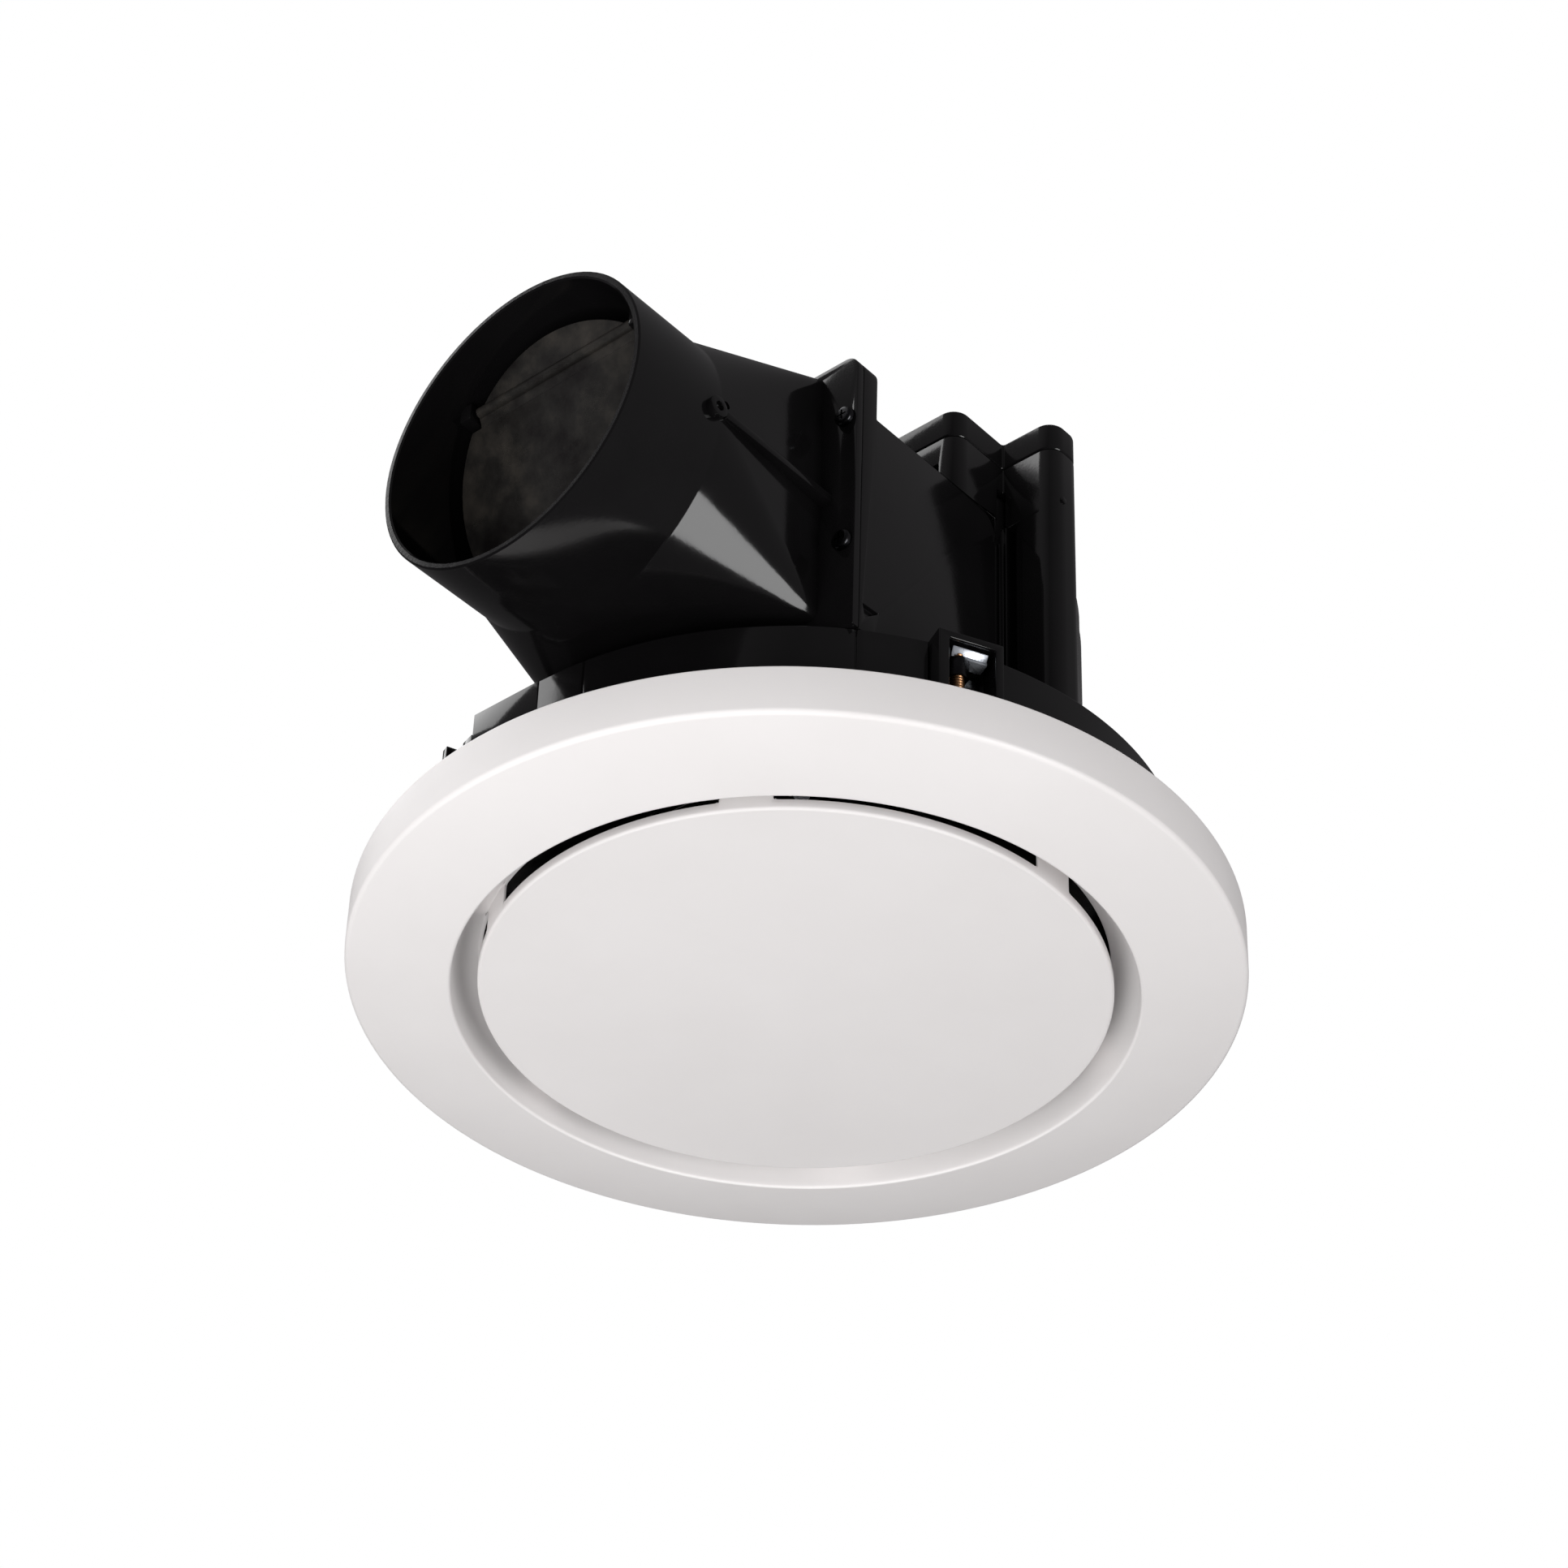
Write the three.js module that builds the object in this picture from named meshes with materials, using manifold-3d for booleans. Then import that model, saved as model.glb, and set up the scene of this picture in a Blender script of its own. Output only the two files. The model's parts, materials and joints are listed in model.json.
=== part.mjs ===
// Ceiling extractor fan with a round grille, a centrifugal impeller and a side duct spigot.
// Millimetres, +Z up. The origin is the centre of the ceiling cut-out, on the ceiling's lower face.
// The grille hangs below z = 0, the fan body stands above it, and the spigot points along -X.
import * as THREE from 'three';
import { mergeVertices } from 'three/addons/utils/BufferGeometryUtils.js';
import Module from 'manifold-3d';

const wasm = await Module();
wasm.setup();

// Driving dimensions
const GAP = 0.3;
const WALL = 2.5;
const FASCIA_R = 132;
const RIM_H = 15.9;
const LIP_R = 100.9;
const LIP_DROP = 5;
const DISC_R = 93;
const DISC_DROP = 3;
const FUNNEL_R = 93.5;
const FUNNEL_Z = -8.8;
const RIM_WALL_IN = 92.2;
const WINDOWS = 6;
const WINDOW_POST_DEG = 9.3;
const FIRST_POST_DEG = 31.8;
const WINDOW_CORNER = 0.8;
const POST_R = 105.5;
const COLLAR_R = 114;
const COLLAR_TOP = 29;
const FLAT_BOTTOM = 16;
const FLANGE_R = 126;
const DECK_Z = 18;
const HOUSING_BOTTOM = 20.8;
const HOUSING_TOP = 111.5;
const SCROLL_START_R = 72;
const SCROLL_END_R = 85.5;
const TONGUE_DEG = 165;
const SIDE_WALL_Y = -85.5;
const SIDE_WALL_END_X = -14;
const OUTLET_X = -75.7;
const OUTLET_THICK = 6.2;
const OUTLET_TOP = 131.5;
const OUTLET_FAR_Y = 32;
const COVER_TOP = 126;
const BOX_TOP = 146;
const LID_H = 10;
const SPIGOT_R = 49.1;
const SPIGOT_WALL = 2.3;
const SPIGOT_Y = -26.5;
const SPIGOT_Z = 81.4;
const MOUTH_X = -159.6;
const CREASE_X = -125;
const SQUARE_HALF = 46;
const SQUARE_Z = 83.5;
const PLATE_THICK = 2.5;
const IMPELLER_R = 64;
const BLADES = 28;
const FLAP_R = 44.3;
const FLAP_X = -130.4;
const FLAP_TILT = THREE.MathUtils.degToRad(23);
const HINGE_UP = 33;
const HINGE_HALF = 30.8;
const PIN_R = 0.75;
const CLAMPS = 3;
const CLAMP_FIRST_DEG = -116.2;
const CLAMP_R = 114.5;
const CLAMP_OFFSET = -2;
const BOX_HALF = 10;
const BOX_BACK = 108;
const BOX_FRONT = 119.5;
const SHAFT_R = 4;
const SCREW_HOLE_R = 1.9;

// Dimensions that follow from them
const LIP_Z = -RIM_H - LIP_DROP;
const DISC_Z = -RIM_H - DISC_DROP;
const WINDOW_BOTTOM = DISC_Z + 3.3;
const CLAMP_TOP = COLLAR_TOP + 0.8;
const FRAME_BOTTOM = COLLAR_TOP + GAP;
const FOOT_TOP = HOUSING_BOTTOM + 4;
const PLATE_X = OUTLET_X - GAP - PLATE_THICK;
const HINGE_X = FLAP_X - HINGE_UP * Math.sin(FLAP_TILT);
const HINGE_Z = SPIGOT_Z + HINGE_UP * Math.cos(FLAP_TILT);
const LID_Z = BOX_TOP - LID_H;
const MOTOR_PLATE_Z = COVER_TOP - WALL - 0.4;

// Materials
const plastic = (color, roughness) => new THREE.MeshStandardMaterial({ color, roughness, metalness: 0 });
const metal = (color, roughness) => new THREE.MeshStandardMaterial({ color, roughness, metalness: 1 });
const MATERIALS = {
  white: plastic(0xe8e5e4, 0.45),
  black: plastic(0x141414, 0.22),
  grey: plastic(0x4a4a4c, 0.5),
  flap: plastic(0x5a544e, 0.35),
  zinc: metal(0xaeb4bc, 0.35),
  darkSteel: metal(0x2e2f31, 0.35),
  brass: metal(0xc8955a, 0.35),
  steel: metal(0x8d9094, 0.4),
  copper: metal(0xb5653a, 0.45),
  cream: plastic(0xd8d2c0, 0.5),
};

const fan = new THREE.Group();

function add(name, geometry, material) {
  const mesh = new THREE.Mesh(geometry, MATERIALS[material]);
  mesh.name = name;
  fan.add(mesh);
  return mesh;
}

// Solids for joining and cutting
function toSolid(geometry) {
  const bare = geometry.clone();
  bare.deleteAttribute('normal');
  bare.deleteAttribute('uv');
  const merged = mergeVertices(bare, 1e-4);
  const source = merged.index.array;
  const triangles = [];
  for (let i = 0; i < source.length; i += 3) {
    const [a, b, c] = [source[i], source[i + 1], source[i + 2]];
    if (a !== b && b !== c && c !== a) triangles.push(a, b, c);
  }
  return new wasm.Manifold(new wasm.Mesh({
    numProp: 3,
    vertProperties: new Float32Array(merged.attributes.position.array),
    triVerts: new Uint32Array(triangles),
  }));
}

function toGeometry(solid) {
  const mesh = solid.getMesh();
  const geometry = new THREE.BufferGeometry();
  geometry.setAttribute('position', new THREE.BufferAttribute(new Float32Array(mesh.vertProperties), 3));
  geometry.setIndex(new THREE.BufferAttribute(new Uint32Array(mesh.triVerts), 1));
  geometry.computeVertexNormals();
  return geometry;
}

function join(...geometries) {
  return toGeometry(geometries.map(toSolid).reduce((sum, solid) => sum.add(solid)));
}

function cut(geometry, ...tools) {
  return toGeometry(tools.map(toSolid).reduce((rest, tool) => rest.subtract(tool), toSolid(geometry)));
}

function common(a, b) {
  return toGeometry(toSolid(a).intersect(toSolid(b)));
}

// Basic shapes, placed in the fan's own frame
function block(x0, x1, y0, y1, z0, z1) {
  const geometry = new THREE.BoxGeometry(x1 - x0, y1 - y0, z1 - z0);
  return geometry.translate((x0 + x1) / 2, (y0 + y1) / 2, (z0 + z1) / 2);
}

function turned(profile, segments = 64) {
  const points = profile.map(([r, z]) => new THREE.Vector2(r, z));
  const area = THREE.ShapeUtils.area(points);
  const ordered = area > 0 ? points : points.reverse();
  return new THREE.LatheGeometry([...ordered, ordered[0].clone()], segments).rotateX(Math.PI / 2);
}

function ring(rIn, rOut, z0, z1, segments = 48) {
  return turned([[rIn, z0], [rOut, z0], [rOut, z1], [rIn, z1]], segments);
}

function rod(radius, z0, z1, segments = 24) {
  const geometry = new THREE.CylinderGeometry(radius, radius, z1 - z0, segments);
  return geometry.rotateX(Math.PI / 2).translate(0, 0, (z0 + z1) / 2);
}

function rodAlongX(radius, x0, x1, y, z, segments = 16) {
  return rod(radius, x0, x1, segments).rotateY(Math.PI / 2).translate(0, y, z);
}

function rodAlongY(radius, y0, y1, x, z, segments = 16) {
  return rod(radius, y0, y1, segments).rotateX(-Math.PI / 2).translate(x, 0, z);
}

function raised(shape, z0, z1, curveSegments = 12) {
  const settings = { depth: z1 - z0, bevelEnabled: false, curveSegments };
  return new THREE.ExtrudeGeometry(shape, settings).translate(0, 0, z0);
}

function roundedRectangle(x0, x1, y0, y1, radius) {
  const shape = new THREE.Shape();
  shape.moveTo(x0 + radius, y0);
  shape.lineTo(x1 - radius, y0);
  shape.absarc(x1 - radius, y0 + radius, radius, -Math.PI / 2, 0);
  shape.lineTo(x1, y1 - radius);
  shape.absarc(x1 - radius, y1 - radius, radius, 0, Math.PI / 2);
  shape.lineTo(x0 + radius, y1);
  shape.absarc(x0 + radius, y1 - radius, radius, Math.PI / 2, Math.PI);
  shape.lineTo(x0, y0 + radius);
  shape.absarc(x0 + radius, y0 + radius, radius, Math.PI, 1.5 * Math.PI);
  return shape;
}

// Where repeated pieces go
const radians = THREE.MathUtils.degToRad;

function polar(radius, degrees) {
  return new THREE.Vector2(radius * Math.cos(radians(degrees)), radius * Math.sin(radians(degrees)));
}

function around(count, firstDegrees = 0) {
  return Array.from({ length: count }, (_, k) => firstDegrees + k * 360 / count);
}

// A piece of a ring between two angles
function sector(fromDegrees, toDegrees, rIn, rOut, z0, z1) {
  const shape = new THREE.Shape();
  shape.absarc(0, 0, rOut, radians(fromDegrees), radians(toDegrees), false);
  shape.absarc(0, 0, rIn, radians(toDegrees), radians(fromDegrees), true);
  return raised(shape, z0, z1, 9);
}

function spiralRadius(degrees, offset) {
  const growth = Math.min(1, (TONGUE_DEG - degrees) / 219);
  return SCROLL_START_R + (SCROLL_END_R - SCROLL_START_R) * growth + offset;
}

function footPlace(degrees) {
  return polar(spiralRadius(degrees, 6.5), degrees);
}

const CLIP_DEGREES = around(4, 45);
const CLAMP_DEGREES = around(CLAMPS, CLAMP_FIRST_DEG);
const FOOT_DEGREES = [20, 75, 130, -20];
const ADAPTOR_SCREW_YZ = [[-81.5, 108], [-81.5, 61], [26, 112], [26, 72]];
const COVER_SCREW_XY = [[60, 46], [-30, 62], [52, -50]];
const MOTOR_SCREWS = around(4, 45).map((degrees) => polar(50, degrees));

// Grille: a disc whose rim rises as a round wall to the funnel of a sloping ring
function grilleShell() {
  return turned([
    [0, DISC_Z], [DISC_R - 1, DISC_Z], [DISC_R, DISC_Z + 1], [DISC_R, FUNNEL_Z],
    [FUNNEL_R, FUNNEL_Z], [96.8, -10.2], [99.3, -13], [100.4, -16.5], [LIP_R - 0.3, LIP_Z + 1],
    [LIP_R + 0.5, LIP_Z], [FASCIA_R - 1.8, -RIM_H - 0.3], [FASCIA_R, -RIM_H + 1.5], [FASCIA_R, 0],
    [FASCIA_R - 2.6, 0], [FASCIA_R - 2.6, 2 - RIM_H], [LIP_R + 2.3, LIP_Z + 2.6],
    [102, -15.6], [100.7, -11.8], [98, -8.6], [FUNNEL_R + 1.2, FUNNEL_Z + 1.8],
    [RIM_WALL_IN, FUNNEL_Z + 2], [RIM_WALL_IN, DISC_Z + 2.2], [0, DISC_Z + 2.2],
  ], 64);
}

// A round-cornered window through the wall, between the disc's rim and the funnel
function wallWindow(degrees) {
  const [low, high] = [WINDOW_BOTTOM + WINDOW_CORNER, FUNNEL_Z - WINDOW_CORNER];
  const half = 180 / WINDOWS - WINDOW_POST_DEG / 2;
  const corner = THREE.MathUtils.radToDeg(WINDOW_CORNER / DISC_R);
  const [rIn, rOut] = [RIM_WALL_IN - 2, DISC_R + 0.4];
  const wide = sector(-half, half, rIn, rOut, low, high);
  const tall = sector(corner - half, half - corner, rIn, rOut, WINDOW_BOTTOM, FUNNEL_Z);
  const corners = [low, high].flatMap((z) => [corner - half, half - corner].map((turn) => {
    return rodAlongX(WINDOW_CORNER, rIn, rOut, 0, z, 12).rotateZ(radians(turn));
  }));
  return join(wide, tall, ...corners).rotateZ(radians(degrees));
}

function clipPost(degrees) {
  return block(POST_R, POST_R + 2.2, -7, 7, LIP_Z + 3, 6).rotateZ(radians(degrees));
}

const wallWindows = around(WINDOWS, FIRST_POST_DEG + 180 / WINDOWS).map(wallWindow);
add('fascia_grille', join(cut(grilleShell(), ...wallWindows), ...CLIP_DEGREES.map(clipPost)), 'white');

// Leaf springs on the grille's posts, which grip the inside of the collar
function leafSpring() {
  const start = POST_R + 2.2 + GAP;
  const shape = new THREE.Shape([
    [start, -12], [start, 5.4], [start + 0.6, 6], [start + 3.2, 0], [start + 2.7, -0.3], [start + 0.6, 4.2],
    [start + 0.6, -12],
  ].map(([r, z]) => new THREE.Vector2(r, z)));
  return raised(shape, -5, 5).rotateX(Math.PI / 2);
}

CLIP_DEGREES.forEach((degrees, k) => {
  add(`fascia_spring_${k + 1}`, leafSpring().rotateZ(radians(degrees)), 'steel');
});

// Collar: the ring that stands in the ceiling cut-out, with a deck that carries the fan
const COLLAR_IN = COLLAR_R - WALL;

function clampPocket(degrees) {
  const pocket = block(BOX_BACK - GAP, FLANGE_R + 1, -BOX_HALF - GAP, BOX_HALF + GAP, 0.6, CLAMP_TOP + 1);
  const screwHole = rod(2.4, -4, 2, 16).translate(CLAMP_R, CLAMP_OFFSET, 0);
  return join(pocket, screwHole).rotateZ(radians(degrees));
}

function footScrewHole(degrees) {
  const place = footPlace(degrees);
  return rod(1.6, DECK_Z - 1, DECK_Z + WALL + 1, 12).translate(place.x, place.y, 0);
}

// Beside the flat under the spigot the wall dips between two low teeth
function collar() {
  const blank = turned([
    [58, DECK_Z], [COLLAR_IN, DECK_Z], [COLLAR_IN, -2.5], [FLANGE_R, -2.5], [FLANGE_R, 0], [COLLAR_R, 0],
    [COLLAR_R, COLLAR_TOP], [COLLAR_IN, COLLAR_TOP], [COLLAR_IN, DECK_Z + WALL], [58, DECK_Z + WALL],
  ], 72);
  const dip = sector(157, 167.2, COLLAR_IN - 2, COLLAR_R + 2, COLLAR_TOP - 8, COLLAR_TOP + 2);
  const flat = block(-COLLAR_R - 0.2, -COLLAR_IN + 1, 0, 25.4, FLAT_BOTTOM, COLLAR_TOP);
  const teeth = [
    sector(157.2, 158.6, COLLAR_IN, COLLAR_R + 2, DECK_Z, COLLAR_TOP + 0.8),
    sector(162, 164.6, COLLAR_IN, COLLAR_R, DECK_Z, COLLAR_TOP - 2),
  ];
  const holes = [...CLAMP_DEGREES.map(clampPocket), ...FOOT_DEGREES.map(footScrewHole)];
  return cut(join(cut(blank, dip), flat, ...teeth), ...holes);
}

add('collar', collar(), 'black');

// Clamps, in a frame whose X is radial and whose Y runs round the collar
function clampBox() {
  const shell = block(BOX_BACK, BOX_FRONT, -BOX_HALF, BOX_HALF, 0.9, CLAMP_TOP);
  const hollow = block(BOX_BACK + 1.6, BOX_FRONT - 1.5, -BOX_HALF + 1.6, BOX_HALF - 1.6, 2.6, CLAMP_TOP - 2);
  const window = block(BOX_FRONT - 3, BOX_FRONT + 1, -BOX_HALF + 3.4, BOX_HALF - 2.4, 9, CLAMP_TOP - 2.4);
  const screwHole = rod(2.4, -1, 4, 16).translate(CLAMP_R, CLAMP_OFFSET, 0);
  return cut(shell, hollow, window, screwHole);
}

function clampScrew() {
  const shank = rod(2, -3, 26.8, 12);
  const head = rod(3.6, -4.8, -2.8, 16);
  const driverSlot = block(-4, 4, -0.5, 0.5, -5, -4);
  return cut(join(shank, head), driverSlot).translate(CLAMP_R, CLAMP_OFFSET, 0);
}

function clampNut() {
  return cut(rod(3.4, 17, 23.6, 6), rod(2.3, 16, 24, 12)).translate(CLAMP_R, CLAMP_OFFSET, 0);
}

// The wing is a flat plate with a turned-up front lip and a hole near one end for the screw
function wingOutline() {
  const shape = new THREE.Shape();
  shape.moveTo(-3, -2.6);
  shape.lineTo(3.1, -2.6);
  shape.lineTo(3.1, 5.9);
  shape.absarc(0.5, 5.9, 2.6, 0, Math.PI / 2, false);
  shape.lineTo(-3, 8.5);
  return shape;
}

function clampWing() {
  const plate = raised(wingOutline(), 23.9, 25.1, 4);
  const lip = common(raised(wingOutline(), 23.9, 26.8, 4), block(2.1, 5, -2.6, 9, 23, 27));
  return cut(join(plate, lip), rod(2.3, 23, 28, 12)).translate(CLAMP_R, CLAMP_OFFSET, 0);
}

CLAMP_DEGREES.forEach((degrees, k) => {
  const place = (geometry) => geometry.rotateZ(radians(degrees));
  add(`clamp_box_${k + 1}`, place(clampBox()), 'black');
  add(`clamp_screw_${k + 1}`, place(clampScrew()), 'brass');
  add(`clamp_nut_${k + 1}`, place(clampNut()), 'darkSteel');
  add(`clamp_wing_${k + 1}`, place(clampWing()), 'zinc');
});

// Scroll: a spiral round the impeller that opens into a straight duct along -X
function spiralPoints(offset, steps = 34) {
  return Array.from({ length: steps + 1 }, (_, k) => {
    const degrees = TONGUE_DEG - k * (TONGUE_DEG + 90) / steps;
    return polar(spiralRadius(degrees, offset), degrees);
  });
}

function foot(degrees) {
  const pad = rod(5.5, HOUSING_BOTTOM, FOOT_TOP, 16);
  const neck = block(-8, 0, -5.5, 5.5, HOUSING_BOTTOM, FOOT_TOP);
  const hole = rod(1.8, HOUSING_BOTTOM - 1, FOOT_TOP + 1, 12);
  const place = footPlace(degrees);
  return cut(join(pad, neck), hole).rotateZ(radians(degrees)).translate(place.x, place.y, 0);
}

function scrollOutline(offset, endX) {
  const points = spiralPoints(offset);
  const tongue = points[0];
  points.push(new THREE.Vector2(endX, SIDE_WALL_Y - offset), new THREE.Vector2(endX, tongue.y));
  return new THREE.Shape(points);
}

// An upright plate across X whose two top corners are rounded
function outletPlate(x0, x1) {
  const shape = new THREE.Shape();
  const radius = 5;
  shape.moveTo(SIDE_WALL_Y, FRAME_BOTTOM);
  shape.lineTo(OUTLET_FAR_Y, FRAME_BOTTOM);
  shape.lineTo(OUTLET_FAR_Y, OUTLET_TOP - radius);
  shape.absarc(OUTLET_FAR_Y - radius, OUTLET_TOP - radius, radius, 0, Math.PI / 2, false);
  shape.lineTo(SIDE_WALL_Y + radius, OUTLET_TOP);
  shape.absarc(SIDE_WALL_Y + radius, OUTLET_TOP - radius, radius, Math.PI / 2, Math.PI, false);
  return raised(shape, x0, x1, 6).rotateX(Math.PI / 2).rotateZ(Math.PI / 2);
}

function adaptorScrewHoles(radius) {
  return ADAPTOR_SCREW_YZ.map(([y, z]) => rodAlongX(radius, PLATE_X - 1, OUTLET_X + 9, y, z, 12));
}

function outletFrame() {
  const opening = block(OUTLET_X - 1, OUTLET_X + 9, -72, 16.4, SQUARE_Z - 44, HOUSING_TOP - WALL);
  return cut(outletPlate(OUTLET_X, OUTLET_X + OUTLET_THICK), opening, ...adaptorScrewHoles(1.8));
}

// The side wall steps back where it ends, and its top corner is rounded there
function sideWallEnd() {
  const radius = 9;
  const shape = new THREE.Shape();
  shape.moveTo(SIDE_WALL_END_X + 1, HOUSING_TOP + 1);
  shape.lineTo(SIDE_WALL_END_X - radius, HOUSING_TOP + 1);
  shape.absarc(SIDE_WALL_END_X - radius, HOUSING_TOP - radius, radius, Math.PI / 2, 0, true);
  shape.lineTo(SIDE_WALL_END_X + 1, HOUSING_TOP - radius);
  const corner = raised(shape, 0, 1.2, 6).rotateX(Math.PI / 2).translate(0, SIDE_WALL_Y + 1.2, 0);
  const stepFace = SIDE_WALL_Y + 1.2;
  const step = block(SIDE_WALL_END_X, -8.6, stepFace - 5, stepFace, HOUSING_BOTTOM - 1, HOUSING_TOP + 1);
  return [corner, step];
}

// A small three-sided recess low down where the outlet frame meets the side wall
function cornerNotch() {
  const corners = [[-74.2, 39.2], [-67.1, 39.7], [-73.1, 34.9]];
  const shape = new THREE.Shape(corners.map(([x, z]) => new THREE.Vector2(x, z)));
  return raised(shape, 0, 2).rotateX(Math.PI / 2).translate(0, SIDE_WALL_Y + 1.4, 0);
}

function fanHousing() {
  const outer = raised(scrollOutline(0, OUTLET_X + OUTLET_THICK), HOUSING_BOTTOM, HOUSING_TOP);
  const inner = raised(scrollOutline(-WALL, OUTLET_X - 4), HOUSING_BOTTOM - 1, HOUSING_TOP - WALL);
  const motorHole = rod(IMPELLER_R + 2.5, HOUSING_TOP - WALL - 1, HOUSING_TOP + 1, 64);
  const scroll = cut(join(outer, ...FOOT_DEGREES.map(foot)), inner, motorHole, ...sideWallEnd());
  const hole = rod(1.4, HOUSING_TOP - 4, HOUSING_TOP + 1, 10);
  const coverHoles = COVER_SCREW_XY.map(([x, y]) => hole.clone().translate(x, y, 0));
  return cut(join(scroll, outletFrame()), cornerNotch(), ...coverHoles);
}

add('fan_housing', fanHousing(), 'black');

// Top cover: a shallow cap of the scroll's outline, which carries the motor
function coverOutline(offset) {
  const closing = Array.from({ length: 11 }, (_, k) => {
    const degrees = -90 - (k + 1) * 8.6;
    const radius = SCROLL_END_R - (SCROLL_END_R - SCROLL_START_R) * (k + 1) / 12;
    return polar(radius + offset, degrees);
  });
  return new THREE.Shape([...spiralPoints(offset, 28), ...closing]);
}

function coverBlank() {
  const round = 3;
  const settings = {
    depth: COVER_TOP - HOUSING_TOP - GAP - round, bevelThickness: round, bevelSize: round, bevelSegments: 2,
    bevelOffset: -round, steps: 1,
  };
  const cap = new THREE.ExtrudeGeometry(coverOutline(-0.4), settings).translate(0, 0, HOUSING_TOP + GAP);
  return common(cap, block(OUTLET_X + OUTLET_THICK + GAP, 99, -99, 99, HOUSING_TOP + GAP, COVER_TOP + 1));
}

function topCover() {
  const hollow = raised(coverOutline(-WALL - 4), HOUSING_TOP - 1, COVER_TOP - WALL);
  const boss = rod(4, HOUSING_TOP + GAP, COVER_TOP - 1, 16);
  const bosses = COVER_SCREW_XY.map(([x, y]) => boss.clone().translate(x, y, 0));
  const ribs = [15, 75, 135].map((degrees) => {
    return block(-40, 40, -0.8, 0.8, COVER_TOP - 0.5, COVER_TOP + 1.2).rotateZ(radians(degrees));
  });
  const hole = rod(SCREW_HOLE_R, HOUSING_TOP - 4, COVER_TOP + 1, 12);
  const coverHoles = COVER_SCREW_XY.map(([x, y]) => hole.clone().translate(x, y, 0));
  const motorHoles = MOTOR_SCREWS.map((place) => hole.clone().translate(place.x, place.y, 0));
  return cut(join(cut(coverBlank(), hollow), ...bosses, ...ribs), ...coverHoles, ...motorHoles);
}

add('top_cover', topCover(), 'black');

// A pan-head screw along +Z from its tip to its seat
function screw(shankR, headR, length, headH) {
  const profile = [
    [0, 0], [shankR, 0], [shankR, length], [headR, length], [headR, length + headH * 0.6],
    [headR * 0.7, length + headH], [0, length + headH],
  ];
  const driverSlot = block(-headR * 0.7, headR * 0.7, -0.4, 0.4, length + headH * 0.5, length + headH + 1);
  return cut(turned(profile, 12), driverSlot);
}

COVER_SCREW_XY.forEach(([x, y], k) => {
  const length = COVER_TOP + GAP - HOUSING_TOP + 1.5;
  add(`cover_screw_${k + 1}`, screw(1.2, 3, length, 2.2).translate(x, y, HOUSING_TOP - 1.5), 'zinc');
});

// Inlet ring: the bell mouth that leads room air into the impeller
function inletRing() {
  return turned([
    [57, DECK_Z + 0.2], [57, DECK_Z + WALL + GAP], [62, DECK_Z + WALL + GAP], [62, DECK_Z + WALL + 2],
    [56, DECK_Z + WALL + 2], [51, 26], [48.6, 31], [48, 38], [45.8, 38], [46.2, 30.5], [48.6, 24.8],
    [54, DECK_Z + 0.2],
  ], 40);
}

add('inlet_ring', inletRing(), 'black');

// Duct adaptor: a round spigot that lofts into a square and ends in a screwed plate
function sectionRing(kind, x, size, y, z, steps = 10) {
  const points = [];
  for (let quadrant = 0; quadrant < 4; quadrant += 1) {
    for (let k = 0; k <= steps; k += 1) {
      const angle = (quadrant + k / steps) * Math.PI / 2;
      const side = quadrant * Math.PI / 2 + Math.PI / 4;
      const corner = 2.5;
      const inset = (size - corner) * Math.SQRT2;
      points.push(kind === 'round'
        ? new THREE.Vector3(x, y + size * Math.cos(angle), z + size * Math.sin(angle))
        : new THREE.Vector3(
          x,
          y + inset * Math.cos(side) + corner * Math.cos(angle),
          z + inset * Math.sin(side) + corner * Math.sin(angle),
        ));
    }
  }
  return points;
}

// Skins a closed loop of rings, so the last ring joins the first
function skinnedLoop(rings) {
  const count = rings[0].length;
  const geometry = new THREE.BufferGeometry().setFromPoints(rings.flat());
  const index = [];
  rings.forEach((_, i) => {
    const next = (i + 1) % rings.length;
    for (let k = 0; k < count; k += 1) {
      const [a, b] = [i * count + k, i * count + (k + 1) % count];
      const [c, d] = [next * count + k, next * count + (k + 1) % count];
      index.push(a, b, c, b, d, c);
    }
  });
  geometry.setIndex(index);
  return geometry;
}

function adaptorTube() {
  const inner = SPIGOT_R - SPIGOT_WALL;
  const innerSquare = SQUARE_HALF - SPIGOT_WALL;
  return skinnedLoop([
    sectionRing('round', MOUTH_X, SPIGOT_R, SPIGOT_Y, SPIGOT_Z),
    sectionRing('round', CREASE_X, SPIGOT_R, SPIGOT_Y, SPIGOT_Z),
    sectionRing('square', PLATE_X + 0.5, SQUARE_HALF, SPIGOT_Y, SQUARE_Z),
    sectionRing('square', PLATE_X + PLATE_THICK, SQUARE_HALF, SPIGOT_Y, SQUARE_Z),
    sectionRing('square', PLATE_X + PLATE_THICK, innerSquare, SPIGOT_Y, SQUARE_Z),
    sectionRing('square', PLATE_X + 0.5, innerSquare, SPIGOT_Y, SQUARE_Z),
    sectionRing('round', CREASE_X, inner, SPIGOT_Y, SPIGOT_Z),
    sectionRing('round', MOUTH_X, inner, SPIGOT_Y, SPIGOT_Z),
  ]);
}

function adaptorPlate() {
  const half = SQUARE_HALF - SPIGOT_WALL / 2;
  const opening = block(PLATE_X - 1, PLATE_X + 9, -half, half, -half, half).translate(0, SPIGOT_Y, SQUARE_Z);
  return cut(outletPlate(PLATE_X, PLATE_X + PLATE_THICK), opening);
}

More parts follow.
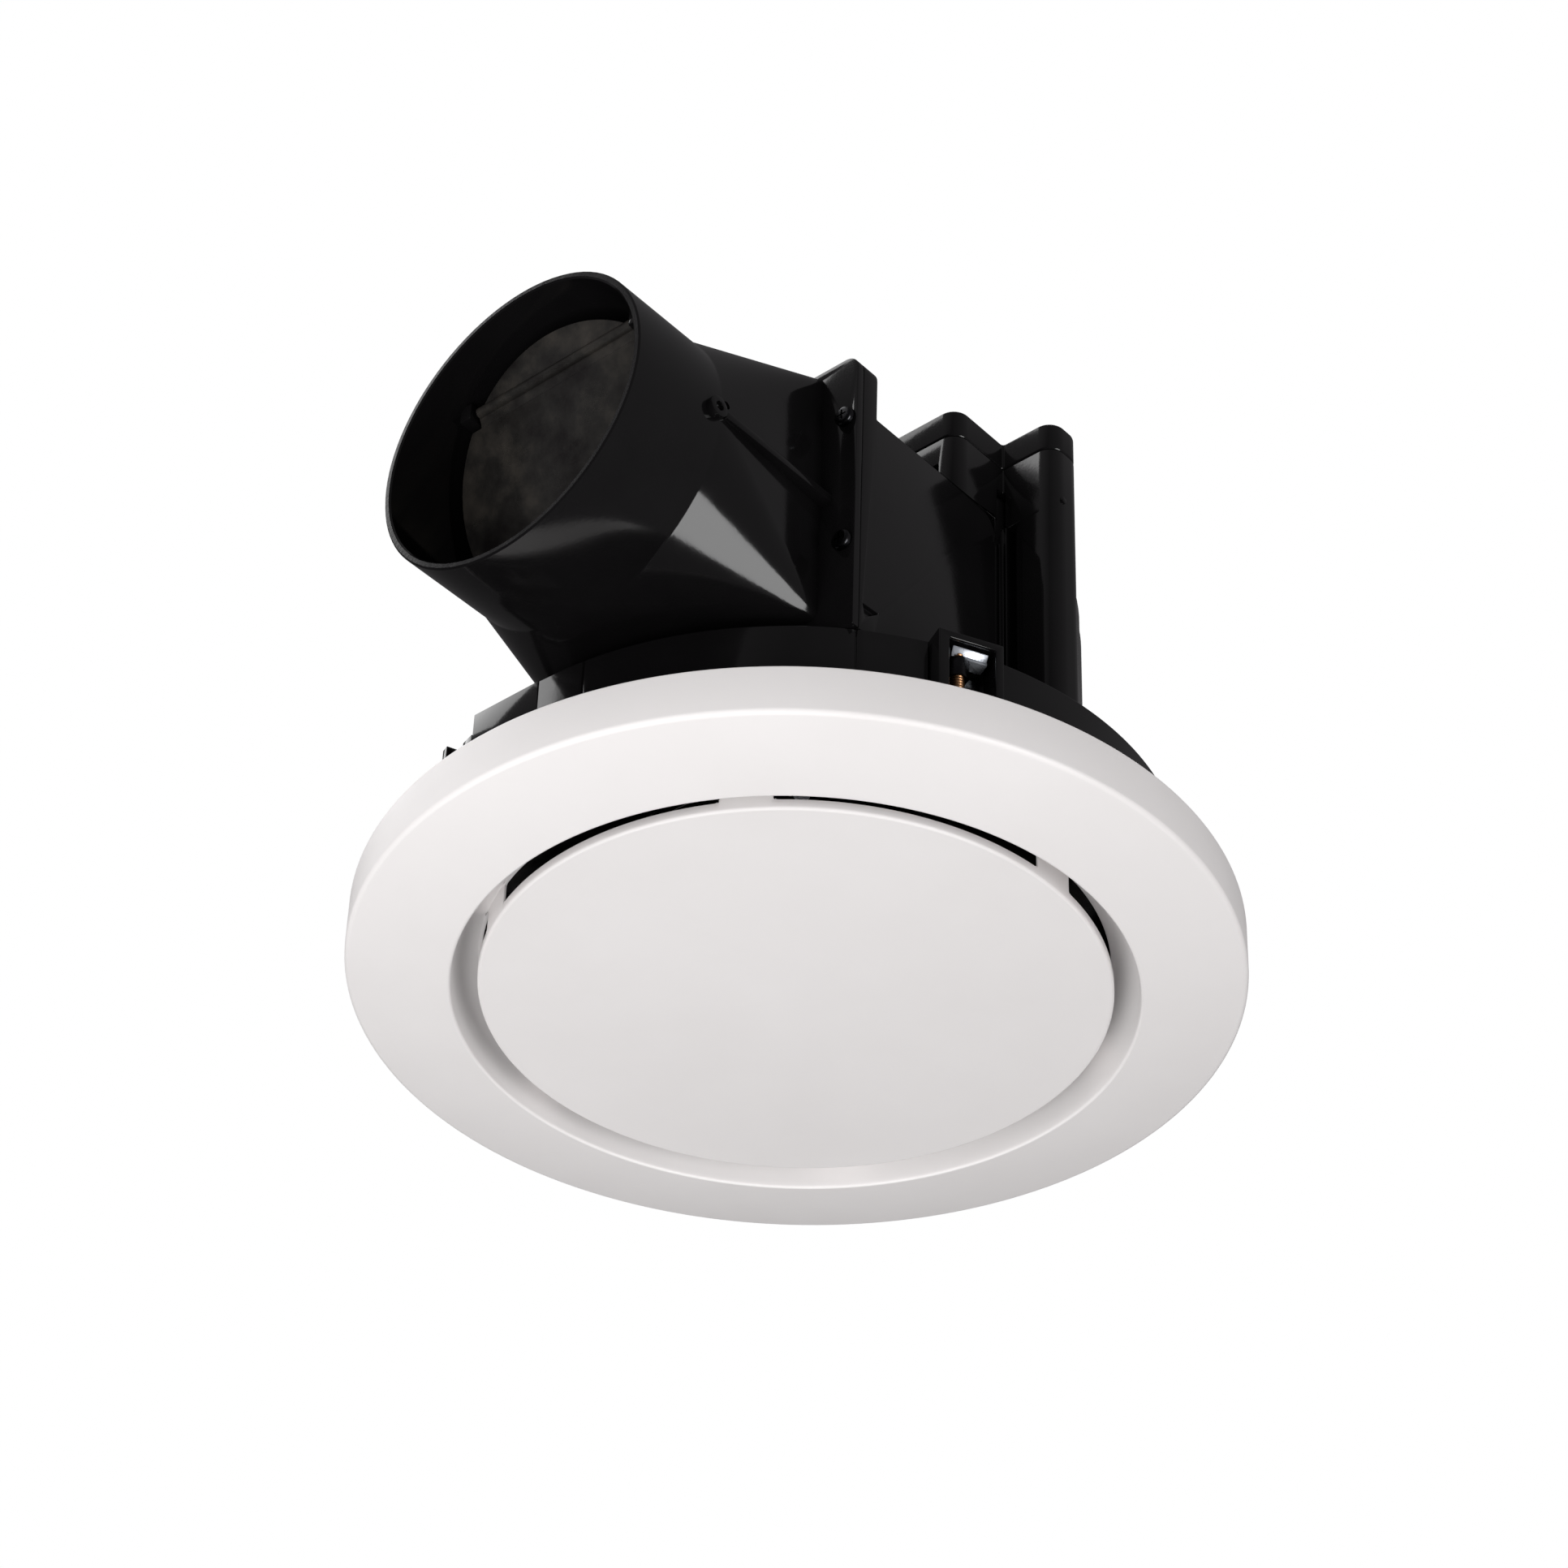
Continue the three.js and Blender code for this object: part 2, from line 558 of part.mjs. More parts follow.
// Lugs inside the spigot hold the flap's pin
function hingeLug(side) {
  const inner = SPIGOT_Y + side * HINGE_HALF;
  const [y0, y1] = [inner, inner + side * 9].sort((a, b) => a - b);
  const lug = block(HINGE_X - 3, HINGE_X + 3, y0, y1, HINGE_Z - 3, HINGE_Z + 3);
  return common(lug, rodAlongX(SPIGOT_R - 1, MOUTH_X, CREASE_X, SPIGOT_Y, SPIGOT_Z, 40));
}

function adaptor() {
  const near = SPIGOT_Y - SPIGOT_R;
  const rib = block(CREASE_X + 0.5, PLATE_X + 0.5, near - 1.4, SPIGOT_Y - SQUARE_HALF + 1, 78.2, 80.8);
  const boss = rodAlongY(3.4, near - 2, near + 1.6, CREASE_X - 3, 79.5);
  const stop = block(-116.5, -114, SPIGOT_Y - 5, SPIGOT_Y + 5, SPIGOT_Z - SPIGOT_R + 2, 50);
  const body = join(adaptorTube(), adaptorPlate(), rib, boss, stop, hingeLug(-1), hingeLug(1));
  const holeHalf = HINGE_HALF + 4;
  const pinHole = rodAlongY(PIN_R + GAP, SPIGOT_Y - holeHalf, SPIGOT_Y + holeHalf, HINGE_X, HINGE_Z);
  const pilot = rodAlongY(1.2, near - 3, SPIGOT_Y - SQUARE_HALF + 1, CREASE_X + 2, 84.5);
  return cut(body, pinHole, pilot, ...adaptorScrewHoles(SCREW_HOLE_R));
}

const ADAPTOR_SCREW_L = 7;

add('duct_adaptor', adaptor(), 'black');
ADAPTOR_SCREW_YZ.forEach(([y, z], k) => {
  const turnedScrew = screw(1.5, 3.2, ADAPTOR_SCREW_L, 2).rotateY(-Math.PI / 2);
  add(`adaptor_screw_${k + 1}`, turnedScrew.translate(PLATE_X - GAP + ADAPTOR_SCREW_L, y, z), 'darkSteel');
});

// Backdraft flap: a thin disc on a pin, hinged above its centre, with its lower edge cut straight.
// It is drawn flat, with X across and Y up, then stood up across the spigot and tilted.
function flap() {
  const lowerCut = radians(42);
  const shape = new THREE.Shape();
  shape.absarc(0, 0, FLAP_R, -Math.PI / 2 + lowerCut, 1.5 * Math.PI - lowerCut, false);
  const plate = raised(shape, -0.5, 0.5, 48);
  const barrel = rod(1.8, -30, 30, 14).rotateY(Math.PI / 2).translate(0, HINGE_UP, 0);
  const bore = rod(PIN_R + GAP, -40, 40, 10).rotateY(Math.PI / 2).translate(0, HINGE_UP, 0);
  const lugRooms = [45.2, -45.2].map((x) => block(x - 15, x + 15, HINGE_UP - 4.5, HINGE_UP + 4.5, -5, 5));
  const upright = cut(join(plate, barrel), bore, ...lugRooms).rotateX(Math.PI / 2).rotateZ(Math.PI / 2);
  return upright.rotateY(-FLAP_TILT).translate(FLAP_X, SPIGOT_Y, SPIGOT_Z);
}

add('backdraft_flap', flap(), 'flap');
const PIN_HALF = HINGE_HALF + 3.4;
add('flap_pin', rodAlongY(PIN_R, SPIGOT_Y - PIN_HALF, SPIGOT_Y + PIN_HALF, HINGE_X, HINGE_Z, 10), 'steel');

// Wiring box: a stepped box on the housing with a round-cornered column down to the deck
function boxOutline(inset) {
  const [left, step, right] = [-30.6 + inset, -8 + inset, 6 - inset];
  const [near, face, far] = [-103 + inset, -84 + inset, -45 - inset];
  const radius = 5.5 - inset;
  const shape = new THREE.Shape();
  shape.moveTo(left, far);
  shape.lineTo(left, face + radius);
  shape.absarc(left + radius, face + radius, radius, Math.PI, 1.5 * Math.PI, false);
  shape.lineTo(step, face);
  shape.lineTo(step, near + radius);
  shape.absarc(step + radius, near + radius, radius, Math.PI, 1.5 * Math.PI, false);
  shape.lineTo(right - radius, near);
  shape.absarc(right - radius, near + radius, radius, 1.5 * Math.PI, 2 * Math.PI, false);
  shape.lineTo(right, far);
  return shape;
}

const GLAND_Z = 131.6;

function wiringBox() {
  const back = SIDE_WALL_Y - GAP;
  const column = raised(roundedRectangle(-8, 6, -103, back, 5.4), HOUSING_BOTTOM, HOUSING_TOP + 2, 5);
  const slimColumn = raised(roundedRectangle(0, 11, -97.5, back, 2.5), HOUSING_BOTTOM, COVER_TOP - 1, 4);
  const upper = raised(boxOutline(0), HOUSING_TOP + GAP, LID_Z - GAP, 5);
  const underCover = raised(coverOutline(0.2), HOUSING_TOP - 1, COVER_TOP + GAP);
  const inside = raised(boxOutline(2), COVER_TOP + 2.2, LID_Z + 1, 5);
  const shaft = raised(roundedRectangle(-6, 4, -101, -88, 3), HOUSING_BOTTOM + 2, LID_Z + 1, 4);
  const entry = rodAlongY(3.6, -50, -40, -12, GLAND_Z, 20);
  const ribRoom = block(-40, 10, -60, -44, COVER_TOP - 6, COVER_TOP + 1.5);
  return cut(join(cut(upper, underCover, ribRoom), column, slimColumn), inside, shaft, entry);
}

function wiringLid() {
  const cap = raised(boxOutline(0), LID_Z, BOX_TOP, 5);
  return cut(cap, raised(boxOutline(2), LID_Z - 1, BOX_TOP - 2, 4));
}

add('wiring_box', wiringBox(), 'black');
add('wiring_lid', wiringLid(), 'black');
add('terminal_block', terminalBlock(), 'cream');
add('run_capacitor', join(block(-4, 3.4, -74, -50, 129, 141), block(-1, 0.5, -50.5, -48.6, 131, 139)), 'grey');
add('cable_gland', cableGland(), 'black');

function terminalBlock() {
  const body = block(-27, -16, -80, -56, 128.8, 138);
  const wells = [-76, -68, -60].map((y) => rod(2.4, 134, 139, 12).translate(-21.5, y, 0));
  const entries = [-76, -68, -60].map((y) => block(-28, -15, y - 1.4, y + 1.4, 130.5, 133));
  return cut(body, ...wells, ...entries);
}

function cableGland() {
  const sleeve = turned([
    [2.7, -48], [3.3, -48], [3.3, -44.7], [5, -44.7], [5, -41], [4.2, -36], [2.7, -36],
  ], 20);
  return sleeve.rotateX(-Math.PI / 2).translate(-12, 0, GLAND_Z);
}

// Motor: hangs from the top cover on a steel plate, with its shaft down into the impeller
const CAN_TOP = MOTOR_PLATE_Z - 2.3;
const CAN_BOTTOM = 99;
const CAN_R = 41;

function motorPlate() {
  const plate = rod(57, MOTOR_PLATE_Z - 2, MOTOR_PLATE_Z, 40);
  const hole = rod(SCREW_HOLE_R, MOTOR_PLATE_Z - 3, MOTOR_PLATE_Z + 1, 12);
  const holes = MOTOR_SCREWS.map((place) => hole.clone().translate(place.x, place.y, 0));
  return cut(plate, rod(8, MOTOR_PLATE_Z - 3, MOTOR_PLATE_Z + 1, 24), ...holes);
}

function motorCan() {
  return turned([
    [10.4, CAN_TOP], [10.4, CAN_TOP - 4], [12, CAN_TOP - 4], [12, CAN_TOP - 1.6], [CAN_R - 1.6, CAN_TOP - 1.6],
    [CAN_R - 1.6, CAN_BOTTOM + 2.6], [CAN_R, CAN_BOTTOM + 2.6], [CAN_R, CAN_TOP - 1.5], [CAN_R - 1.5, CAN_TOP],
  ], 30);
}

function motorEndPlate() {
  return turned([
    [10.4, CAN_BOTTOM - 1], [12, CAN_BOTTOM - 1], [12, CAN_BOTTOM], [CAN_R, CAN_BOTTOM],
    [CAN_R, CAN_BOTTOM + 2.3], [CAN_R - 2, CAN_BOTTOM + 2.3], [CAN_R - 2, CAN_BOTTOM + 1.6],
    [12, CAN_BOTTOM + 1.6], [12, CAN_BOTTOM + 3.4], [10.4, CAN_BOTTOM + 3.4],
  ], 30);
}

function statorCore() {
  const pockets = around(12).map((degrees) => block(25, 33, -3.4, 3.4, 100, 120).rotateZ(radians(degrees)));
  const mouths = around(12).map((degrees) => block(20, 27, -1, 1, 100, 120).rotateZ(radians(degrees)));
  return cut(ring(22, CAN_R - 2, 105.5, 115, 48), ...pockets, ...mouths);
}

const windingRing = (z0, z1) => turned([
  [25, z0], [33, z0], [34.5, (z0 + z1) / 2], [33, z1], [25, z1], [23.5, (z0 + z1) / 2],
], 24);

add('motor_plate', motorPlate(), 'zinc');
add('motor_can', motorCan(), 'steel');
add('motor_end_plate', motorEndPlate(), 'steel');
add('stator_core', statorCore(), 'grey');
add('stator_winding_upper', windingRing(115.3, 118.6), 'copper');
add('stator_winding_lower', windingRing(101.6, 105.2), 'copper');
add('motor_bearing_upper', ring(SHAFT_R + 0.1, 10.1, CAN_TOP - 4, CAN_TOP - 0.4, 24), 'steel');
add('motor_bearing_lower', ring(SHAFT_R + 0.1, 10.1, CAN_BOTTOM - 0.8, CAN_BOTTOM + 3.2, 24), 'steel');
MOTOR_SCREWS.forEach(({ x, y }, k) => {
  const bottom = MOTOR_PLATE_Z - 6;
  add(`motor_screw_${k + 1}`, screw(1.6, 3.4, COVER_TOP + GAP - bottom, 2.4).translate(x, y, bottom), 'zinc');
});

add('motor_rotor', ring(SHAFT_R + 0.3, 21.4, 105, 115.4, 24), 'steel');
add('motor_shaft', join(rod(SHAFT_R, 63, CAN_TOP - 0.6, 24), rod(2.6, 56, 64, 16)), 'zinc');

// Impeller: forward-curved blades between a back plate and a shroud ring, on a boss
const BACK_Z = 95;
const SHROUD_Z = 39;
const BLADE_IN = 52;

function bladeOutline() {
  const [inner, outer, sweep] = [BLADE_IN + 0.6, IMPELLER_R - 0.6, 6.5];
  const front = Array.from({ length: 4 }, (_, k) => {
    const t = k / 3;
    return new THREE.Vector2(inner + (outer - inner) * t, -sweep * t * t);
  });
  const back = front.map((point) => new THREE.Vector2(point.x, point.y + 1.2)).reverse();
  return new THREE.Shape([...front, ...back]);
}

function impeller() {
  const backPlate = ring(9, IMPELLER_R, BACK_Z, BACK_Z + 2, 56);
  const boss = ring(SHAFT_R + 0.3, 10, 66, BACK_Z + 2, 24);
  const shroud = ring(BLADE_IN, IMPELLER_R, SHROUD_Z, SHROUD_Z + 2, 56);
  const blades = around(BLADES).map((degrees) => {
    return raised(bladeOutline(), SHROUD_Z + 1, BACK_Z + 1).rotateZ(radians(degrees));
  });
  const webs = [0, 60, 120].map((degrees) => {
    return block(-30, 30, -1, 1, BACK_Z - 8, BACK_Z + 1).rotateZ(radians(degrees));
  });
  const body = join(backPlate, boss, shroud, ...blades, ...webs);
  return cut(body, rod(SHAFT_R + 0.3, 60, 99, 24));
}

add('impeller', impeller(), 'black');
add('impeller_nut', cut(rod(6, 59.5, 62.6, 6), rod(2.9, 59, 64, 16)), 'zinc');

// Screws that hold the housing's feet to the collar's deck
FOOT_DEGREES.forEach((degrees, k) => {
  const place = footPlace(degrees);
  const geometry = screw(1.2, 3, FOOT_TOP + GAP - DECK_Z + 2, 2);
  add(`foot_screw_${k + 1}`, geometry.translate(place.x, place.y, DECK_Z - 2), 'zinc');
});

export default fan;
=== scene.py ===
"""Looks for the ceiling extractor fan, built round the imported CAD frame. Metres, +Z up."""

import json
import math

import bmesh
import bpy
from mathutils import Matrix, Vector


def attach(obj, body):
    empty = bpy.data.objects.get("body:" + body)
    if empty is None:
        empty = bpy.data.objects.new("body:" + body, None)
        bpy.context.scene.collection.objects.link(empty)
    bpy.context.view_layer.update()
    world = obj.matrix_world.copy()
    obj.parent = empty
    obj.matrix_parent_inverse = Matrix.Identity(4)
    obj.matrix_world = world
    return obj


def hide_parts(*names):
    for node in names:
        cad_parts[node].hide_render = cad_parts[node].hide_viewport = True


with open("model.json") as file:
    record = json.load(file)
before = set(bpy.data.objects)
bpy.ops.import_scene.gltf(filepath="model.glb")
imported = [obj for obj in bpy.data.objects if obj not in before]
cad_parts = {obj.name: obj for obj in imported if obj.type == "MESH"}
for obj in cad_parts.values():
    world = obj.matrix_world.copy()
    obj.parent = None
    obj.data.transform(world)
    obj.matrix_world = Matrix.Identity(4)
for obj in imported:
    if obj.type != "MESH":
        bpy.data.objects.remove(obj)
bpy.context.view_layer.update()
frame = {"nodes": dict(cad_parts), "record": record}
MM = 0.001

# Driving dimensions in millimetres, the same as the CAD model's
WALL = 2.5
GAP = 0.3

# Grille
FASCIA_R = 132
RIM_H = 15.9
RIM_WALL = 2.6
SHELL = 2.2
LIP_R = 100.9
LIP_Z = -RIM_H - 5
DISC_R = 93
DISC_Z = -RIM_H - 3
FUNNEL_R = 93.5
FUNNEL_Z = -8.8
RIM_WALL_IN = 92.2
WINDOWS = 6
WINDOW_POST_DEG = 9.3
FIRST_POST_DEG = 31.8
WINDOW_CORNER = 0.8
WINDOW_BOTTOM = DISC_Z + 3.3
POST_R = 105.5
POST_THICK = 2.2
POST_DEGREES = (45, 135, 225, 315)

# Collar
COLLAR_R = 114
COLLAR_TOP = 29
FLAT_BOTTOM = 16
FLANGE_R = 126
FLANGE_Z = -2.5
DECK_Z = 18
DECK_HOLE_R = 58
DIP_DEGREES = (157, 167.2)
SEAM_DEGREES = (-172, -132, 13, 48)

# Clamps
CLAMPS = 3
CLAMP_FIRST_DEG = -116.2
CLAMP_R = 114.5
CLAMP_OFFSET = -2
CLAMP_TOP = COLLAR_TOP + 0.8
CLAMP_HOLE_R = 2.4
THREAD_HOLE_R = 2.3
BOX_HALF = 10
BOX_BACK = 108
BOX_FRONT = 119.5
WING_Z = 23.9
WING_TOP = 25.1
WING_LIP_TOP = 26.8

# Scroll housing, its outlet frame and its cover
HOUSING_BOTTOM = 20.8
HOUSING_TOP = 111.5
SCROLL_START_R = 72
SCROLL_END_R = 85.5
TONGUE_DEG = 165
SIDE_WALL_Y = -85.5
SIDE_WALL_END_X = -14
SIDE_WALL_STEP = 1.2
SIDE_WALL_CORNER = 9
OUTLET_X = -75.7
OUTLET_THICK = 6.2
OUTLET_TOP = 131.5
OUTLET_FAR_Y = 32
FRAME_BOTTOM = COLLAR_TOP + 0.3
COVER_TOP = 126
COVER_RIB_TOP = COVER_TOP + 1.2
COVER_HUB = (20, 24)

# Duct adaptor
SPIGOT_R = 49.1
SPIGOT_WALL = 2.3
SPIGOT_IN = SPIGOT_R - SPIGOT_WALL
SPIGOT_Y = -26.5
SPIGOT_Z = 81.4
MOUTH_X = -159.6
MOUTH_EDGE = 0.5
CREASE_X = -125
CREASE_SOFT = 0.6
SQUARE_HALF = 46
SQUARE_IN = SQUARE_HALF - SPIGOT_WALL
SQUARE_Z = 83.5
SQUARE_CORNER = 2.5
PLATE_THICK = 2.5
PLATE_X = OUTLET_X - GAP - PLATE_THICK

# Flap
FLAP_R = 44.3
FLAP_X = -130.4
FLAP_TILT = math.radians(23)
FLAP_HALF_THICK = 0.45
FLAP_CUT_DEG = 42
HINGE_UP = 33
HINGE_HALF = 30.8
HINGE_X = FLAP_X - HINGE_UP * math.sin(FLAP_TILT)
HINGE_Z = SPIGOT_Z + HINGE_UP * math.cos(FLAP_TILT)
BARREL_R = 1.8
BARREL_HALF = 30
PIN_R = 0.75
PIN_HALF = HINGE_HALF + 3.4

# Wiring box
WIRING_LEFT = -30.6
WIRING_STEP = -8
WIRING_RIGHT = 6
WIRING_NEAR = -103
WIRING_FACE = -84
WIRING_FAR = -45
WIRING_CORNER = 5.5
BOX_TOP = 146
LID_H = 10
LID_Z = BOX_TOP - LID_H

# Impeller
IMPELLER_R = 64
BLADES = 28
BLADE_IN = 52
BLADE_THICK = 1.2
BLADE_CURVE = 6.5
BACK_Z = 95
SHROUD_Z = 39
WHEEL_THICK = 2

# Takes a flat outline's x and y to Y and Z, and its thickness to X
UPRIGHT = Matrix(((0, 0, 1, 0), (1, 0, 0, 0), (0, 1, 0, 0), (0, 0, 0, 1)))


# ---------------------------------------------------------------- outlines

def polar(radius, degrees):
    angle = math.radians(degrees)
    return Vector((radius * math.cos(angle), radius * math.sin(angle)))


def arc(centre, radius, start, end, steps):
    """Points on an arc, with its angles in degrees."""
    angles = [start + (end - start) * k / steps for k in range(steps + 1)]
    return [Vector(centre) + polar(radius, angle) for angle in angles]


def fillet(corners, steps=6):
    """Points of a closed polygon whose corners (x, y, radius) are rounded with arcs."""
    points = []
    count = len(corners)
    for i, corner in enumerate(corners):
        here = Vector(corner[:2])
        radius = corner[2] if len(corner) > 2 else 0
        if radius == 0:
            points.append(here)
            continue
        before = (Vector(corners[i - 1][:2]) - here).normalized()
        after = (Vector(corners[(i + 1) % count][:2]) - here).normalized()
        half = before.angle(after) / 2
        reach = radius / math.tan(half)
        centre = here + (before + after).normalized() * radius / math.sin(half)
        start = here + before * reach - centre
        end = here + after * reach - centre
        a = math.atan2(start.y, start.x)
        turn = math.atan2(start.x * end.y - start.y * end.x, start.dot(end))
        for k in range(steps + 1):
            angle = a + turn * k / steps
            points.append(centre + radius * Vector((math.cos(angle), math.sin(angle))))
    return points


def rounded_box(x0, x1, y0, y1, radius, steps=6):
    return fillet([(x0, y0, radius), (x1, y0, radius), (x1, y1, radius), (x0, y1, radius)], steps)


# ---------------------------------------------------------------- solids

def to_object(name, bm):
    """An object from a bmesh in millimetres, with its faces pointing out."""
    bmesh.ops.remove_doubles(bm, verts=bm.verts, dist=1e-4)
    bmesh.ops.recalc_face_normals(bm, faces=bm.faces)
    bmesh.ops.scale(bm, vec=(MM, MM, MM), verts=bm.verts)
    mesh = bpy.data.meshes.new(name)
    bm.to_mesh(mesh)
    bm.free()
    piece = bpy.data.objects.new(name, mesh)
    bpy.context.collection.objects.link(piece)
    return piece


def prism(outline, z0, z1):
    """A flat outline drawn out from z0 to z1."""
    bm = bmesh.new()
    low = [bm.verts.new((p[0], p[1], z0)) for p in outline]
    high = [bm.verts.new((p[0], p[1], z1)) for p in outline]
    bm.faces.new(low)
    bm.faces.new(high)
    for i in range(len(low)):
        j = (i + 1) % len(low)
        bm.faces.new((low[i], low[j], high[j], high[i]))
    return to_object("prism", bm)


def block(x0, x1, y0, y1, z0, z1):
    return prism([(x0, y0), (x1, y0), (x1, y1), (x0, y1)], z0, z1)


def skin(rings, loop=False):
    """Skins a row of equal rings of points.

    A loop joins the last ring to the first, and an open row is capped.
    """
    bm = bmesh.new()
    made = [[bm.verts.new(p) for p in ring] for ring in rings]
    pairs = list(zip(made, made[1:]))
    if loop:
        pairs.append((made[-1], made[0]))
    for a, b in pairs:
        for k in range(len(a)):
            j = (k + 1) % len(a)
            bm.faces.new((a[k], a[j], b[j], b[k]))
    if not loop:
        bm.faces.new(made[0])
        bm.faces.new(made[-1])
    return to_object("skin", bm)


def lathe(profile, segments=192):
    """A closed (r, z) profile turned about Z. Points on the axis make one vertex."""
    bm = bmesh.new()
    angles = [2 * math.pi * k / segments for k in range(segments)]
    rings = []
    for r, z in profile:
        if r < 1e-6:
            rings.append([bm.verts.new((0, 0, z))] * segments)
        else:
            rings.append([bm.verts.new((r * math.cos(a), r * math.sin(a), z)) for a in angles])
    for i, ring in enumerate(rings):
        after = rings[(i + 1) % len(rings)]
        for k in range(segments):
            j = (k + 1) % segments
            corners = list(dict.fromkeys((ring[k], ring[j], after[j], after[k])))
            if len(corners) > 2:
                bm.faces.new(corners)
    return to_object("lathe", bm)


def rod(radius, z0, z1, segments=40):
    return lathe([(0, z0), (radius, z0), (radius, z1), (0, z1)], segments)


def moved(piece, *matrices):
    """Bakes the matrices into the piece's mesh, the last one first."""
    whole = Matrix.Identity(4)
    for matrix in matrices:
        whole = whole @ matrix
    piece.data.transform(whole)
    return piece


def shift(x, y, z):
    return Matrix.Translation((x * MM, y * MM, z * MM))


def spin(degrees, axis="Z"):
    return Matrix.Rotation(math.radians(degrees), 4, axis)


def sector(start, end, r0, r1, z0, z1):
    """A piece of a ring between two angles, with steps of about 3 mm."""
    steps = max(2, int(abs(end - start) * r1 / 180))
    outer = arc((0, 0), r1, start, end, steps)
    return prism(outer + arc((0, 0), r0, end, start, steps), z0, z1)


def along_x(radius, x0, x1, y, z):
    return moved(rod(radius, x0, x1), shift(0, y, z), spin(90, "Y"))


def along_y(radius, y0, y1, x, z):
    return moved(rod(radius, y0, y1), shift(x, 0, z), spin(-90, "X"))


def applied(piece):
    """Bakes the piece's modifiers into its mesh."""
    graph = bpy.context.evaluated_depsgraph_get()
    mesh = bpy.data.meshes.new_from_object(piece.evaluated_get(graph))
    piece.modifiers.clear()
    piece.data = mesh
    return piece


def cut(piece, *tools):
    """Takes the tools out of the piece, one at a time, and uses them up."""
    for tool in tools:
        step = piece.modifiers.new("cut", "BOOLEAN")
        step.operation = "DIFFERENCE"
        step.solver = "EXACT"
        step.object = tool
        applied(piece)
        bpy.data.objects.remove(tool)
    return piece


def fuse(piece, *others):
    """Joins the others to the piece, one at a time, and uses them up."""
    for other in others:
        step = piece.modifiers.new("fuse", "BOOLEAN")
        step.operation = "UNION"
        step.solver = "EXACT"
        step.object = other
        applied(piece)
        bpy.data.objects.remove(other)
    return piece


def gather(*pieces):
    """One object from several solids, which may run into each other."""
    bm = bmesh.new()
    for piece in pieces:
        bm.from_mesh(piece.data)
    mesh = bpy.data.meshes.new("gathered")
    bm.to_mesh(mesh)
    bm.free()
    for piece in pieces[1:]:
        bpy.data.objects.remove(piece)
    pieces[0].data = mesh
    return pieces[0]


def soften(piece, width=0.35, segments=2, angle=35):
    """Rounds the sharp edges and shades the rest smooth."""
    if width > 0:
        step = piece.modifiers.new("edges", "BEVEL")
        step.width = width * MM
        step.segments = segments
        step.limit_method = "ANGLE"
        step.angle_limit = math.radians(angle)
        step.use_clamp_overlap = False
        step.miter_outer = "MITER_ARC"
        applied(piece)
    piece.data.shade_smooth()
    piece.data.set_sharp_from_angle(angle=math.radians(38))
    return piece


# ---------------------------------------------------------------- materials

# Depth of the grain in metres
WHITE_GRAIN = 0.000012
BLACK_GRAIN = 0.000008
PLAIN_GRAIN = 0.00001
METAL_GRAIN = 0.00002
FILM_WAVES = 0.0004


def new_material(name):
    """A material with its node tree and its shader."""
    material = bpy.data.materials.new(name)
    material.use_nodes = True
    tree = material.node_tree
    return material, tree, tree.nodes["Principled BSDF"]


def noise(tree, scale, detail, roughness):
    """Noise in the object's own space. Scale is in features per metre."""
    where = tree.nodes.new("ShaderNodeTexCoord")
    texture = tree.nodes.new("ShaderNodeTexNoise")
    texture.inputs["Scale"].default_value = scale
    texture.inputs["Detail"].default_value = detail
    texture.inputs["Roughness"].default_value = roughness
    tree.links.new(where.outputs["Object"], texture.inputs["Vector"])
    return texture.outputs["Fac"]


def ranged(tree, source, low, high, start=0.3, end=0.7):
    """Maps a noise's useful range to low..high."""
    node = tree.nodes.new("ShaderNodeMapRange")
    node.inputs["From Min"].default_value = start
    node.inputs["From Max"].default_value = end
    node.inputs["To Min"].default_value = low
    node.inputs["To Max"].default_value = high
    tree.links.new(source, node.inputs["Value"])
    return node.outputs["Result"]


def ramp(tree, source, stops):
    """Colours a noise by its value, with stops of (value, colour)."""
    node = tree.nodes.new("ShaderNodeValToRGB")
    colours = node.color_ramp
    while len(colours.elements) < len(stops):
        colours.elements.new(0.5)
    for element, (value, colour) in zip(colours.elements, stops):
        element.position = value
        element.color = (*colour, 1)
    tree.links.new(source, node.inputs["Fac"])
    return node.outputs["Color"]


def bump(tree, shader, source, depth):
    """Raises the surface by up to the depth, in metres, where the source is high."""
    node = tree.nodes.new("ShaderNodeBump")
    node.inputs["Strength"].default_value = 1
    node.inputs["Distance"].default_value = depth
    tree.links.new(source, node.inputs["Height"])
    tree.links.new(node.outputs["Normal"], shader.inputs["Normal"])


def moulded(name, dark, light, rough, grain, depth):
    """Moulded plastic, with faint flow marks in its colour and gloss and a very fine grain."""
    material, tree, shader = new_material(name)
    flow = noise(tree, 22, 4, 0.6)
    tree.links.new(ramp(tree, flow, [(0.3, dark), (0.7, light)]), shader.inputs["Base Color"])
    gloss = noise(tree, 60, 5, 0.65)
    tree.links.new(ranged(tree, gloss, *rough), shader.inputs["Roughness"])
    bump(tree, shader, noise(tree, grain, 2, 0.5), depth)
    return material


def metal(name, dark, light, rough, grain, metallic=1.0):
    """Bare or plated metal, with a slightly uneven tone and gloss and a fine grain."""
    material, tree, shader = new_material(name)
    shader.inputs["Metallic"].default_value = metallic
    tone = noise(tree, 160, 4, 0.6)
    tree.links.new(ramp(tree, tone, [(0.3, dark), (0.7, light)]), shader.inputs["Base Color"])
    tree.links.new(ranged(tree, noise(tree, 420, 3, 0.6), *rough), shader.inputs["Roughness"])
    bump(tree, shader, noise(tree, grain, 2, 0.5), METAL_GRAIN)
    return material


